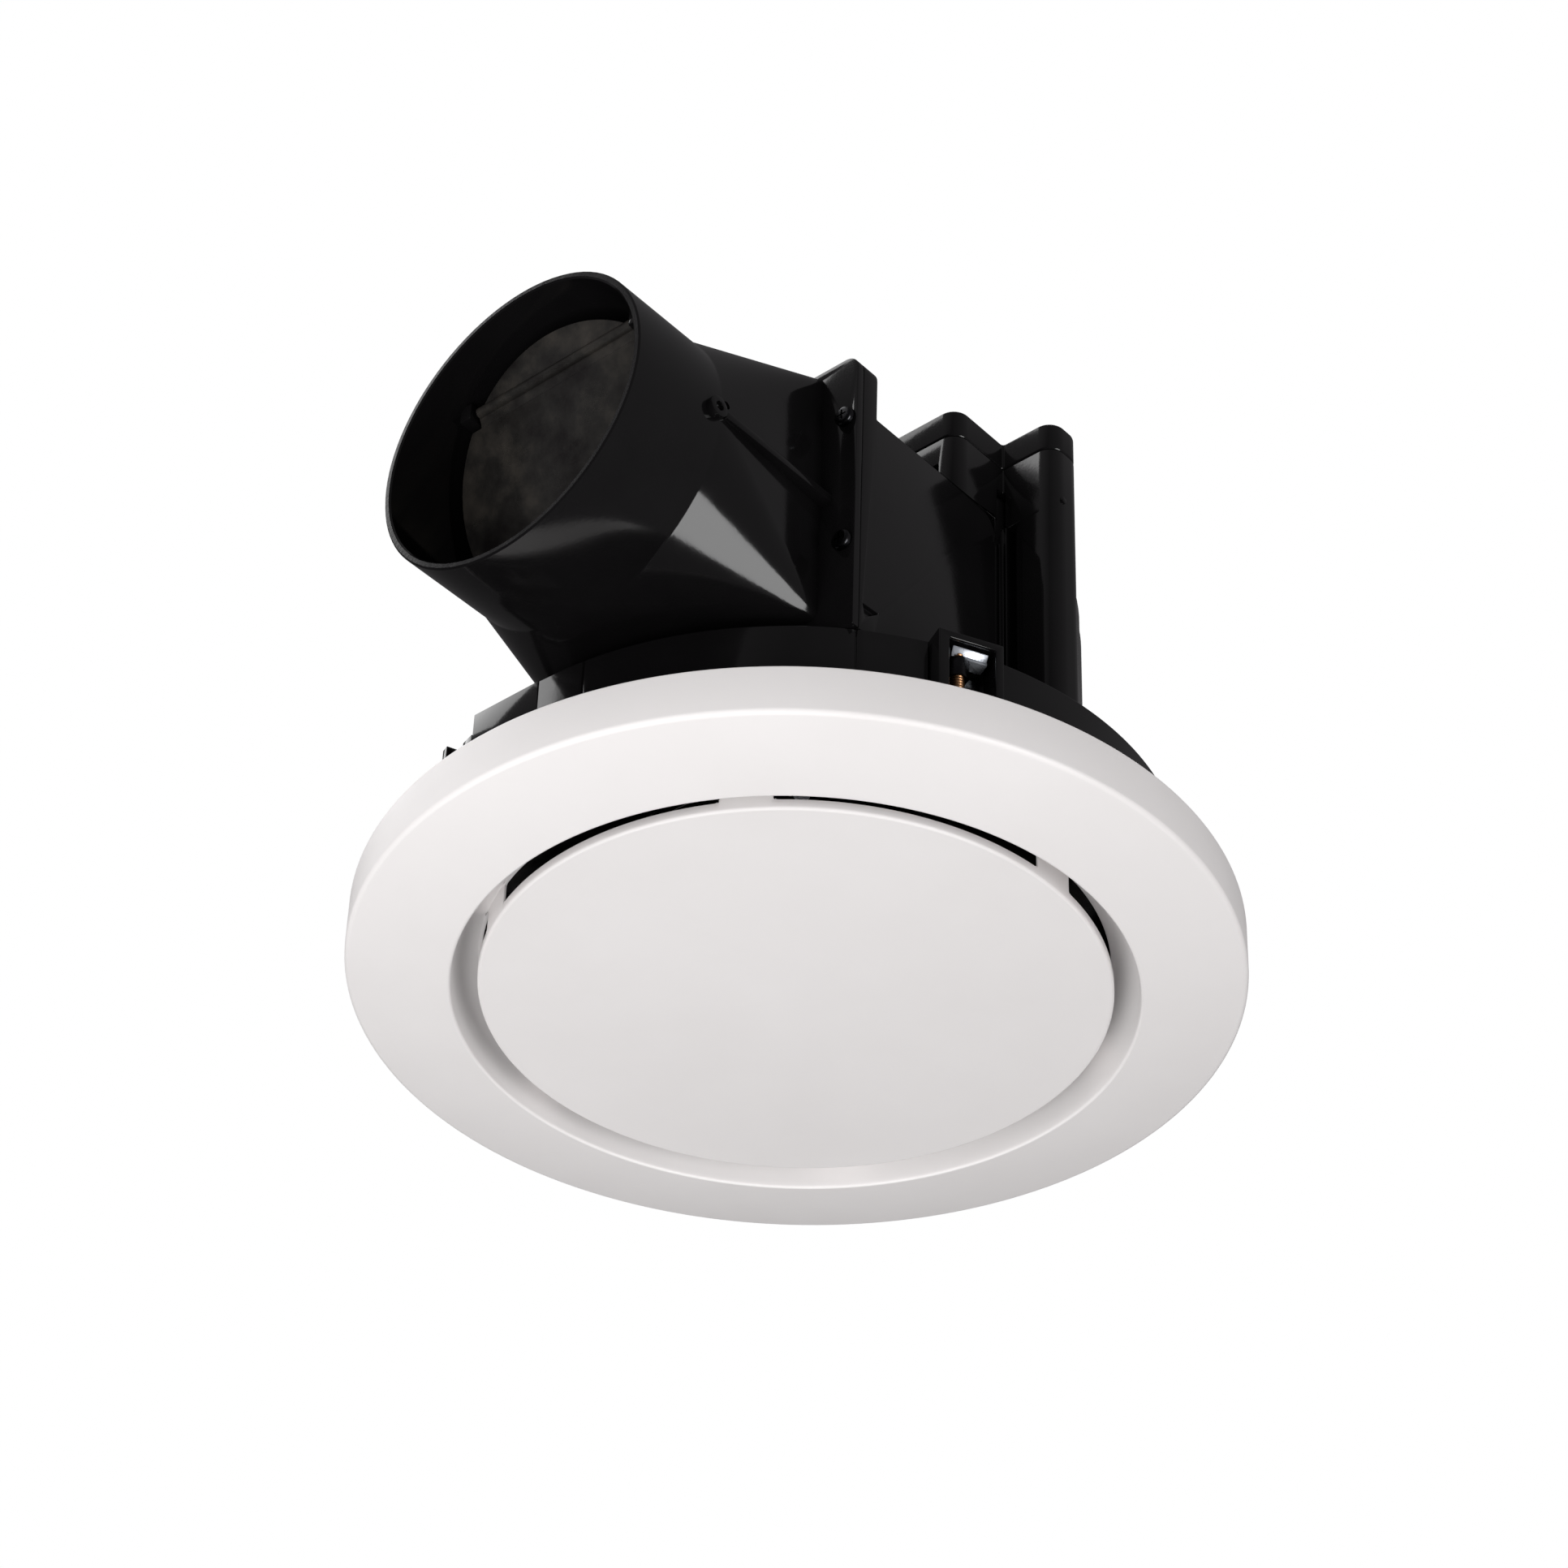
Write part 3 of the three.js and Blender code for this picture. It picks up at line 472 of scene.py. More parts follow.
def film(name):
    """Thin smoky sheet with cloudy patches that shine differently."""
    material, tree, shader = new_material(name)
    clouds = noise(tree, 55, 6, 0.62)
    stops = [
        (0.36, (0.007, 0.006, 0.006)),
        (0.50, (0.015, 0.014, 0.013)),
        (0.66, (0.034, 0.030, 0.026)),
    ]
    tree.links.new(ramp(tree, clouds, stops), shader.inputs["Base Color"])
    tree.links.new(ranged(tree, noise(tree, 90, 5, 0.6), 0.22, 0.5), shader.inputs["Roughness"])
    bump(tree, shader, noise(tree, 70, 3, 0.5), FILM_WAVES)
    return material


# Dark and light colour, range of roughness, then how fine the grain is, per metre
MATERIALS = {
    "white_abs": moulded(
        "white_abs", (0.790, 0.764, 0.758), (0.810, 0.785, 0.780), (0.36, 0.46), 2600, WHITE_GRAIN
    ),
    "black_abs": moulded(
        "black_abs", (0.0034, 0.0032, 0.0034), (0.0054, 0.0051, 0.0054), (0.08, 0.14), 900, BLACK_GRAIN
    ),
    "flap_film": film("flap_film"),
    "zinc_steel": metal(
        "zinc_steel", (0.50, 0.53, 0.58), (0.66, 0.69, 0.74), (0.22, 0.38), 1500, metallic=0.7
    ),
    "black_steel": metal("black_steel", (0.035, 0.035, 0.038), (0.06, 0.06, 0.065), (0.2, 0.32), 1500),
    "brass": metal("brass", (0.45, 0.24, 0.12), (0.62, 0.36, 0.19), (0.3, 0.45), 1500),
    "steel": metal("steel", (0.42, 0.43, 0.45), (0.55, 0.56, 0.58), (0.28, 0.42), 1800),
    "copper": metal("copper", (0.50, 0.22, 0.10), (0.66, 0.32, 0.16), (0.3, 0.45), 2500),
    "cream_plastic": moulded(
        "cream_plastic", (0.66, 0.61, 0.49), (0.72, 0.67, 0.55), (0.4, 0.5), 2600, PLAIN_GRAIN
    ),
    "grey_plastic": moulded(
        "grey_plastic", (0.20, 0.20, 0.21), (0.24, 0.24, 0.25), (0.4, 0.5), 2600, PLAIN_GRAIN
    ),
}


def place(piece, name, body, slot, *replaced):
    """Names a piece, gives it its material, ties it to its body and hides the CAD nodes that it
    replaces.
    """
    piece.name = name
    piece.data.name = name
    piece.data.materials.clear()
    piece.data.materials.append(MATERIALS[slot])
    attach(piece, body)
    if replaced:
        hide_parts(*replaced)
    return piece


# ---------------------------------------------------------------- grille

def sweep(start, bend, end, steps=14):
    """Points on a smooth curve from start to end that leans towards bend."""
    points = []
    for k in range(steps + 1):
        s = k / steps
        near, middle, far = (1 - s) ** 2, 2 * s * (1 - s), s * s
        points.append(Vector(start) * near + Vector(bend) * middle + Vector(end) * far)
    return points


def grille_shell():
    """A disc whose rim rises as a round wall to the funnel of the sloping ring."""
    disc = fillet([(0, DISC_Z), (DISC_R, DISC_Z, 1.0), (DISC_R, FUNNEL_Z)], 8)
    face = sweep((FUNNEL_R, FUNNEL_Z), (100.6, -11), (LIP_R - 0.2, LIP_Z + 1.1))
    rim = fillet([
        face[-1], (LIP_R, LIP_Z, 0.8), (FASCIA_R, -RIM_H, 1.8), (FASCIA_R, 0, 0.5),
        (FASCIA_R - RIM_WALL, 0, 0.5), (FASCIA_R - RIM_WALL, 2 - RIM_H, 0.8),
        (LIP_R + SHELL, LIP_Z + 2.5, 0.8),
    ], 8)
    back = sweep((LIP_R + 1.4, -17), (101.8, -9.2), (FUNNEL_R + 1.2, FUNNEL_Z + 1.8))
    inside = [(RIM_WALL_IN, FUNNEL_Z + 2), (RIM_WALL_IN, DISC_Z + SHELL), (0, DISC_Z + SHELL)]
    return lathe(disc + face + rim + back + inside, 240)


def wall_windows():
    """The tools for the round-cornered windows in the wall between the disc and the funnel."""
    low, high = WINDOW_BOTTOM + WINDOW_CORNER, FUNNEL_Z - WINDOW_CORNER
    half = 180 / WINDOWS - WINDOW_POST_DEG / 2
    corner = math.degrees(WINDOW_CORNER / DISC_R)
    r0, r1 = RIM_WALL_IN - 2, DISC_R + 0.3
    wide, tall, rounds = [], [], []
    for k in range(WINDOWS):
        middle = FIRST_POST_DEG + (k + 0.5) * 360 / WINDOWS
        wide.append(sector(middle - half, middle + half, r0, r1, low, high))
        start, end = middle - half + corner, middle + half - corner
        tall.append(sector(start, end, r0, r1, WINDOW_BOTTOM, FUNNEL_Z))
        for side in (-1, 1):
            for z in (low, high):
                corner_rod = along_x(WINDOW_CORNER, r0, r1, 0, z)
                rounds.append(moved(corner_rod, spin(middle + side * (half - corner))))
    return gather(*wide), gather(*tall), gather(*rounds)


def clip_post(degrees):
    """An upright behind the ring that carries a spring, with two stiffening ribs."""
    bottom = LIP_Z + 3
    post = block(POST_R, POST_R + POST_THICK, -7, 7, bottom, 6)
    ribs = [block(POST_R - 1.6, POST_R + 0.5, y - 0.7, y + 0.7, bottom, -6) for y in (-5.5, 5.5)]
    return moved(gather(post, *ribs), spin(degrees))


grille = soften(cut(grille_shell(), *wall_windows()), 0.25, 2, 50)
posts = soften(gather(*[clip_post(degrees) for degrees in POST_DEGREES]), 0.3)
place(gather(grille, posts), "fascia_shell", "fascia", "white_abs", "fascia_grille")


def leaf_spring():
    """A bent strip of spring steel beside a post, with its nib pointing out."""
    start = POST_R + POST_THICK + GAP
    outline = [(start, -12), (start, 5.4), (start + 0.6, 6), (start + 3.2, 0), (start + 2.7, -0.3)]
    outline += [(start + 0.6, 4.2), (start + 0.6, -12)]
    strip = prism(fillet([(*p, 0.12) for p in outline], 3), -5, 5)
    return moved(strip, spin(90, "X"))


for k, degrees in enumerate(POST_DEGREES):
    spring = soften(moved(leaf_spring(), spin(degrees)), 0)
    place(spring, f"leaf_spring_{k + 1}", "fascia", "steel", f"fascia_spring_{k + 1}")


# ---------------------------------------------------------------- collar and clamps

CLAMP_DEGREES = [CLAMP_FIRST_DEG + k * 360 / CLAMPS for k in range(CLAMPS)]


def collar():
    """The ring in the cut-out, with its flange, deck, dip, clamp pockets, seams and teeth."""
    inner = COLLAR_R - WALL
    body = lathe(fillet([
        (DECK_HOLE_R, DECK_Z, 0.4), (inner, DECK_Z), (inner, FLANGE_Z, 0.5),
        (FLANGE_R, FLANGE_Z, 0.6), (FLANGE_R, 0, 0.6), (COLLAR_R, 0, 0.4),
        (COLLAR_R, COLLAR_TOP, 0.5), (inner, COLLAR_TOP, 0.5), (inner, DECK_Z + WALL),
        (DECK_HOLE_R, DECK_Z + WALL, 0.4),
    ], 4), 240)
    tools = [sector(*DIP_DEGREES, inner - 2, COLLAR_R + 2, COLLAR_TOP - 8, COLLAR_TOP + 2)]
    side = BOX_HALF + GAP
    for degrees in CLAMP_DEGREES:
        pocket = block(BOX_BACK - GAP, FLANGE_R + 1, -side, side, 0.6, CLAMP_TOP + 1)
        hole = moved(rod(CLAMP_HOLE_R, -4, 2), shift(CLAMP_R, CLAMP_OFFSET, 0))
        tools += [moved(pocket, spin(degrees)), moved(hole, spin(degrees))]
    for seam in SEAM_DEGREES:
        tools.append(sector(seam, seam + 0.25, COLLAR_R - 0.3, COLLAR_R + 2, 0.4, COLLAR_TOP + 2))
    flat = block(-COLLAR_R - 0.2, -inner + 1, 0, 25.4, FLAT_BOTTOM, COLLAR_TOP)
    teeth = [
        sector(157.2, 158.6, inner, COLLAR_R + 2, DECK_Z, COLLAR_TOP + 0.8),
        sector(162, 164.6, inner, COLLAR_R, DECK_Z, COLLAR_TOP - 2),
    ]
    return gather(soften(cut(body, *tools), 0.3, 2, 50), soften(gather(flat, *teeth), 0.3))


place(collar(), "collar_shell", "root", "black_abs", "collar")


def clamp_box():
    """A hollow housing with a window in its front for the wing."""
    inside = BOX_HALF - 1.6
    shell = block(BOX_BACK, BOX_FRONT, -BOX_HALF, BOX_HALF, 0.9, CLAMP_TOP)
    hollow = block(BOX_BACK + 1.6, BOX_FRONT - 1.5, -inside, inside, 2.6, CLAMP_TOP - 2)
    window = block(BOX_FRONT - 3, BOX_FRONT + 1, -BOX_HALF + 3.4, BOX_HALF - 2.4, 9, CLAMP_TOP - 2.4)
    hole = moved(rod(CLAMP_HOLE_R, -1, 4), shift(CLAMP_R, CLAMP_OFFSET, 0))
    return soften(cut(shell, hollow, window, hole), 0.4, 3)


def clamp_screw():
    """A machine screw whose thread runs up inside the clamp box."""
    pitch, root, crest = 0.95, 1.72, 2
    ridges = []
    for k in range(27):
        z = 1 + k * pitch
        ridges += [(root, z), (crest, z + 0.3), (crest, z + 0.5), (root, z + 0.8)]
    profile = [(0, -4.8), (3.2, -4.8), (3.6, -4.3), (3.6, -2.9), (3.4, -2.8), (2, -2.8)] + ridges
    body = lathe(profile + [(1.4, 26.8), (0, 26.8)], 40)
    cut(body, block(-4, 4, -0.5, 0.5, -5, -4), block(-0.5, 0.5, -2.2, 2.2, -5, -3.7))
    return soften(moved(body, shift(CLAMP_R, CLAMP_OFFSET, 0)), 0)


# The nut is real, but it reaches down to z 17 in black steel so that its dark finish also covers the
# top of the screw under the wing: partly painted shade
def clamp_nut():
    nut = prism([polar(3.4, 60 * k) for k in range(6)], 17, 23.6)
    return soften(moved(cut(nut, rod(THREAD_HOLE_R, 16, 24)), shift(CLAMP_R, CLAMP_OFFSET, 0)), 0.25)


def clamp_wing():
    """A pressed plate whose front edge is bent up into a leaning lip."""
    outline = fillet([(-3, -2.6, 0.5), (1.6, -2.6), (1.6, 8.5), (-3, 8.5, 0.5)])
    plate = prism(outline, WING_Z, WING_TOP)
    profile = fillet([
        (0.9, WING_Z, 0.4), (3.1, WING_LIP_TOP, 0.2), (2, WING_LIP_TOP, 0.2), (0.9, WING_TOP),
    ], 4)
    lip = moved(prism([(p.x, p.y) for p in profile], -8.3, 2.6), spin(90, "X"))
    cut(plate, rod(THREAD_HOLE_R, 23, 28))
    return moved(gather(soften(plate, 0.25), soften(lip, 0.25)), shift(CLAMP_R, CLAMP_OFFSET, 0))


for k, degrees in enumerate(CLAMP_DEGREES, 1):
    nut_body, wing_body = f"clamp_nut_body_{k}", f"clamp_wing_body_{k}"
    for make, name, body, slot, node in (
        (clamp_box, "clamp_housing", "root", "black_abs", "clamp_box"),
        (clamp_screw, "clamp_bolt", "root", "brass", "clamp_screw"),
        # The nut's black finish is partly painted shade, darkening the screw's top under the wing
        (clamp_nut, "clamp_hex_nut", nut_body, "black_steel", "clamp_nut"),
        (clamp_wing, "clamp_plate", wing_body, "zinc_steel", "clamp_wing"),
    ):
        place(moved(make(), spin(degrees)), f"{name}_{k}", body, slot, f"{node}_{k}")


# ---------------------------------------------------------------- scroll housing

def spiral_radius(degrees, offset=0):
    """The scroll grows from the tongue round to the flat side wall."""
    growth = min(1, (TONGUE_DEG - degrees) / 219)
    return SCROLL_START_R + (SCROLL_END_R - SCROLL_START_R) * growth + offset


def spiral(offset, steps=120):
    angles = [TONGUE_DEG - k * (TONGUE_DEG + 90) / steps for k in range(steps + 1)]
    return [polar(spiral_radius(a, offset), a) for a in angles]


def scroll_outline(offset, end_x):
    points = spiral(offset)
    return points + [Vector((end_x, SIDE_WALL_Y - offset)), Vector((end_x, points[0].y))]


FOOT_DEGREES = (20, 75, 130, -20)
FOOT_R = 5.5
FOOT_OUT = 6.5
FOOT_TOP = HOUSING_BOTTOM + 4
ADAPTOR_SCREWS = ((-81.5, 108), (-81.5, 61), (26, 112), (26, 72))
COVER_SCREWS = ((60, 46), (-30, 62), (52, -50))


def foot(degrees):
    pad = gather(
        rod(FOOT_R, HOUSING_BOTTOM, FOOT_TOP), block(-8, 0, -FOOT_R, FOOT_R, HOUSING_BOTTOM, FOOT_TOP)
    )
    spot = polar(spiral_radius(degrees, FOOT_OUT), degrees)
    return moved(pad, shift(spot.x, spot.y, 0), spin(degrees))


def outlet_plate(x0, x1):
    """An upright plate across X whose two top corners are rounded."""
    outline = fillet([
        (SIDE_WALL_Y, FRAME_BOTTOM), (OUTLET_FAR_Y, FRAME_BOTTOM), (OUTLET_FAR_Y, OUTLET_TOP, 5),
        (SIDE_WALL_Y, OUTLET_TOP, 5),
    ], 10)
    return moved(prism(outline, x0, x1), UPRIGHT)


def outlet_frame():
    """The thick plate round the scroll's square outlet, with four screw holes."""
    x1 = OUTLET_X + OUTLET_THICK
    opening = block(OUTLET_X - 1, x1 + 1, -72, 16.4, SQUARE_Z - 44, HOUSING_TOP - WALL)
    holes = [along_x(1.8, OUTLET_X - 1, OUTLET_X + 9, y, z) for y, z in ADAPTOR_SCREWS]
    return cut(outlet_plate(OUTLET_X, x1), opening, *holes)


def wall_corner():
    """The tool for the rounded top corner at the end of the side wall."""
    x, z = SIDE_WALL_END_X - SIDE_WALL_CORNER, HOUSING_TOP - SIDE_WALL_CORNER
    outline = [Vector((SIDE_WALL_END_X + 1, HOUSING_TOP + 1)), Vector((x, HOUSING_TOP + 1))]
    outline += arc((x, z), SIDE_WALL_CORNER, 90, 0, 16) + [Vector((SIDE_WALL_END_X + 1, z))]
    corner = prism(outline, 0, SIDE_WALL_STEP)
    return moved(corner, shift(0, SIDE_WALL_Y + SIDE_WALL_STEP, 0), spin(90, "X"))


def corner_notch():
    """The tool for a small three-sided recess low down where the frame meets the side wall."""
    notch = prism([(-74.2, 39.2), (-67.1, 39.7), (-73.1, 34.9)], 0, 2)
    return moved(notch, shift(0, SIDE_WALL_Y + 1.4, 0), spin(90, "X"))


def fan_housing():
    """The scroll with its flat side wall, its outlet frame and its feet."""
    outer = prism(scroll_outline(0, OUTLET_X + OUTLET_THICK - 0.2), HOUSING_BOTTOM, HOUSING_TOP)
    inner = prism(scroll_outline(-WALL, OUTLET_X - 4), HOUSING_BOTTOM - 1, HOUSING_TOP - WALL)
    motor_hole = rod(IMPELLER_R + 2.5, HOUSING_TOP - WALL - 1, HOUSING_TOP + 1, 128)
    stepped = SIDE_WALL_Y + SIDE_WALL_STEP
    recess = block(SIDE_WALL_END_X, -8.6, SIDE_WALL_Y - 5, stepped, HOUSING_BOTTOM - 1, HOUSING_TOP + 1)
    shell = cut(outer, inner, motor_hole, recess, wall_corner())
    shell = soften(cut(fuse(shell, outlet_frame()), corner_notch()), 0.25, 3)
    feet = soften(gather(*[foot(d) for d in FOOT_DEGREES]), 0.4)
    rib = block(-11.7, -10.3, SIDE_WALL_Y + 0.2, SIDE_WALL_Y + 2, HOUSING_BOTTOM + 8, HOUSING_TOP - 8)
    return gather(shell, feet, soften(rib, 0.4))


place(fan_housing(), "scroll_shell", "root", "black_abs", "fan_housing")


def cover_outline(offset):
    """The scroll's outline, closed by a curve that comes back in to its start."""
    closing = []
    for k in range(1, 45):
        radius = SCROLL_END_R - (SCROLL_END_R - SCROLL_START_R) * k / 48
        closing.append(polar(radius + offset, -90 - k * 2.15))
    return spiral(offset, 110) + closing


MOTOR_SCREWS = [polar(50, 45 + 90 * k) for k in range(4)]


def top_cover():
    """A shallow cap whose shoulder is rounded, with stiffening ribs and screw wells."""
    rings = []
    outline = cover_outline(-0.4)
    radius = 4
    for k in range(9):
        angle = math.radians(90 * k / 8)
        inset = radius * (1 - math.cos(angle))
        z = COVER_TOP - radius + radius * math.sin(angle)
        rings.append([(*(p - p.normalized() * inset), z) for p in outline])
    foot_ring = [(*p, HOUSING_TOP + GAP) for p in outline]
    cap = skin([foot_ring] + rings)
    clear_x = OUTLET_X + OUTLET_THICK + GAP
    beyond = block(-120, clear_x, -120, 120, HOUSING_TOP - 5, COVER_TOP + 5)
    hollow = prism(cover_outline(-WALL - 4), HOUSING_TOP - 1, COVER_TOP - WALL)
    soften(cut(cap, beyond, hollow), 0.3, 2, 60)
    extras = [moved(rod(4, HOUSING_TOP + GAP, COVER_TOP - 1), shift(x, y, 0)) for x, y in COVER_SCREWS]
    for degrees in (15, 75, 135):
        extras.append(moved(block(-40, 40, -0.8, 0.8, COVER_TOP - 0.5, COVER_RIB_TOP), spin(degrees)))
    inner, outer = COVER_HUB
    hub = lathe(fillet([
        (inner, COVER_TOP - 1), (outer, COVER_TOP - 1), (outer, COVER_RIB_TOP, 0.5),
        (inner, COVER_RIB_TOP, 0.5),
    ]), 96)
    return gather(cap, soften(gather(*extras, hub), 0.3))


place(top_cover(), "motor_cover", "root", "black_abs", "top_cover")


# ---------------------------------------------------------------- screws

def pan_screw(shank, head, length, height):
    """A pan-head screw from its tip at z = 0, with a cross recess."""
    pitch = 0.8
    root = shank * 0.84
    ridges = []
    for k in range(int((length - 1) / pitch)):
        z = pitch + k * pitch
        ridges += [(root, z), (shank, z + 0.3), (root, z + 0.6)]
    shoulder = height * 0.55
    dome = arc((head - shoulder, length + height * 0.45), shoulder, 0, 90, 6)
    profile = [(0, 0), (shank * 0.5, 0)] + ridges + [(root, length), (head, length)]
    body = lathe(profile + [tuple(p) for p in dome] + [(0, length + height)], 32)
    arm, half = head * 0.55, 0.28
    low, high = length + height * 0.4, length + height + 1
    cut(body, block(-arm, arm, -half, half, low, high), block(-half, half, -arm, arm, low, high))
    return soften(body, 0)


for k, (x, y) in enumerate(COVER_SCREWS):
    length = COVER_TOP + GAP - HOUSING_TOP + 1.5
    screw = moved(pan_screw(1.2, 3, length, 2.2), shift(x, y, HOUSING_TOP - 1.5))
    place(screw, f"cover_pan_screw_{k + 1}", "root", "zinc_steel", f"cover_screw_{k + 1}")
for k, (y, z) in enumerate(ADAPTOR_SCREWS):
    screw = moved(pan_screw(1.5, 3.2, 7, 2), shift(PLATE_X - GAP + 7, y, z), spin(-90, "Y"))
    place(screw, f"adaptor_pan_screw_{k + 1}", "root", "black_steel", f"adaptor_screw_{k + 1}")
MOTOR_PLATE_Z = COVER_TOP - WALL - 0.4
for k, (x, y) in enumerate(MOTOR_SCREWS):
    bottom = MOTOR_PLATE_Z - 6
    screw = moved(pan_screw(1.6, 3.4, COVER_TOP + GAP - bottom, 2.4), shift(x, y, bottom))
    place(screw, f"motor_pan_screw_{k + 1}", "root", "zinc_steel", f"motor_screw_{k + 1}")
for k, degrees in enumerate(FOOT_DEGREES):
    spot = polar(spiral_radius(degrees, FOOT_OUT), degrees)
    length = FOOT_TOP + GAP - DECK_Z + 2
    screw = moved(pan_screw(1.2, 3, length, 2), shift(spot.x, spot.y, DECK_Z - 2))
    place(screw, f"foot_pan_screw_{k + 1}", "root", "zinc_steel", f"foot_screw_{k + 1}")


# ---------------------------------------------------------------- duct adaptor and flap

QUARTER = 24


def round_section(x, radius):
    """A ring of points on the spigot's circle."""
    ring = []
    for quadrant in range(4):
        for k in range(QUARTER + 1):
            angle = (quadrant + k / QUARTER) * math.pi / 2
            across, up = radius * math.cos(angle), radius * math.sin(angle)
            ring.append(Vector((x, SPIGOT_Y + across, SPIGOT_Z + up)))
    return ring


def square_section(x, half):
    """A ring of as many points on the square with rounded corners, given half its side."""
    ring = []
    inset = (half - SQUARE_CORNER) * math.sqrt(2)
    for quadrant in range(4):
        side = quadrant * math.pi / 2 + math.pi / 4
        for k in range(QUARTER + 1):
            angle = (quadrant + k / QUARTER) * math.pi / 2
            across = inset * math.cos(side) + SQUARE_CORNER * math.cos(angle)
            up = inset * math.sin(side) + SQUARE_CORNER * math.sin(angle)
            ring.append(Vector((x, SPIGOT_Y + across, SQUARE_Z + up)))
    return ring


def between(a, b, share):
    return [p.lerp(q, share) for p, q in zip(a, b)]


def adaptor_tube():
    """The spigot that lofts to a square: out along its outside, then back along its inside."""
    along = (MOUTH_X + MOUTH_EDGE, CREASE_X - CREASE_SOFT, CREASE_X)
    round_out = [round_section(x, SPIGOT_R) for x in along]
    round_in = [round_section(x, SPIGOT_IN) for x in reversed(along)]
    square_out = square_section(PLATE_X + 0.5, SQUARE_HALF)
    square_in = square_section(PLATE_X + 0.5, SQUARE_IN)
    shares = [0.012, 0.2, 0.4, 0.6, 0.8]
    rings = [round_section(MOUTH_X, SPIGOT_R - MOUTH_EDGE)] + round_out
    rings += [between(round_out[-1], square_out, share) for share in shares] + [square_out]
    rings.append(square_section(PLATE_X + PLATE_THICK, SQUARE_HALF))
    rings.append(square_section(PLATE_X + PLATE_THICK, SQUARE_IN))
    rings += [square_in] + [between(round_in[0], square_in, share) for share in reversed(shares)]
    rings += round_in + [round_section(MOUTH_X, SPIGOT_IN + MOUTH_EDGE)]
    near = SPIGOT_Y - SPIGOT_R
    pilot = along_y(1.3, near - 3, SPIGOT_Y - SQUARE_HALF + 1, CREASE_X + 2, 84.5)
    return soften(cut(skin(rings, loop=True), pilot), 0)


def adaptor_plate():
    half = SQUARE_HALF - SPIGOT_WALL / 2
    left, right = SPIGOT_Y - half, SPIGOT_Y + half
    opening = block(PLATE_X - 1, PLATE_X + 9, left, right, SQUARE_Z - half, SQUARE_Z + half)
    holes = [along_x(1.9, PLATE_X - 1, PLATE_X + 4, y, z) for y, z in ADAPTOR_SCREWS]
    return soften(cut(outlet_plate(PLATE_X, PLATE_X + PLATE_THICK), opening, *holes), 0.2, 2)


def adaptor_details():
    """The rib, the boss, the flap's stop and the two lugs of its hinge."""
    near = SPIGOT_Y - SPIGOT_R
    rib = block(CREASE_X + 0.5, PLATE_X + 0.5, near - 1.4, SPIGOT_Y - SQUARE_HALF + 1, 78.2, 80.8)
    boss = along_y(3.4, near - 2, near + 1.6, CREASE_X - 3, 79.5)
    cut(boss, along_y(1.5, near - 3, near - 0.8, CREASE_X - 3, 79.5))
    stop = block(-116.5, -114, SPIGOT_Y - 5, SPIGOT_Y + 5, SPIGOT_Z - SPIGOT_R + 2, 50)
    parts = [soften(rib, 0.5), soften(boss, 0.3), soften(stop, 0.4)]
    for side in (-1, 1):
        y0, y1 = sorted((SPIGOT_Y + side * HINGE_HALF, SPIGOT_Y + side * (HINGE_HALF + 4.4)))
        parts.append(soften(block(HINGE_X - 3, HINGE_X + 3, y0, y1, HINGE_Z - 3, HINGE_Z + 3), 0.6))
    return gather(*parts)


adaptor = gather(adaptor_tube(), adaptor_plate(), adaptor_details())
place(adaptor, "duct_spigot", "root", "black_abs", "duct_adaptor")


def flap_matrix():
    """Takes the flap's own flat frame (x across, y up, z thick) to its rest place in the spigot."""
    return shift(FLAP_X, SPIGOT_Y, SPIGOT_Z) @ Matrix.Rotation(-FLAP_TILT, 4, "Y") @ UPRIGHT


def flap():
    """A thin disc with a straight lower edge, notched at its lugs, and a rolled hinge barrel."""
    outline = arc((0, 0), FLAP_R, -90 + FLAP_CUT_DEG, 270 - FLAP_CUT_DEG, 160)
    plate = prism(outline, -FLAP_HALF_THICK, FLAP_HALF_THICK)
    for x in (45.2, -45.2):
        cut(plate, block(x - 15, x + 15, HINGE_UP - 4.5, HINGE_UP + 4.5, -5, 5))
    soften(plate, 0.2, 2)
    hinge = (shift(0, HINGE_UP, 0), spin(90, "Y"))
    barrel = moved(rod(BARREL_R, -BARREL_HALF, BARREL_HALF), *hinge)
    cut(barrel, moved(rod(PIN_R + GAP, -BARREL_HALF - 1, BARREL_HALF + 1), *hinge))
    return moved(gather(plate, soften(barrel, 0.2)), flap_matrix())


place(flap(), "flap_sheet", "flap", "flap_film", "backdraft_flap")
pin = along_y(PIN_R, SPIGOT_Y - PIN_HALF, SPIGOT_Y + PIN_HALF, HINGE_X, HINGE_Z)
place(soften(pin, 0.2), "hinge_pin", "root", "steel", "flap_pin")


# ---------------------------------------------------------------- wiring box

def box_outline(inset):
    """The wiring box from above: a broad part against the scroll and a narrow one in front."""
    left, step, right = WIRING_LEFT + inset, WIRING_STEP + inset, WIRING_RIGHT - inset
    near, face, far = WIRING_NEAR + inset, WIRING_FACE + inset, WIRING_FAR - inset
    radius = WIRING_CORNER - inset
    return fillet([
        (left, far, 0.6), (left, face, radius), (step, face, 0), (step, near, radius),
        (right, near, radius), (right, far, 0.6),
    ], 10)


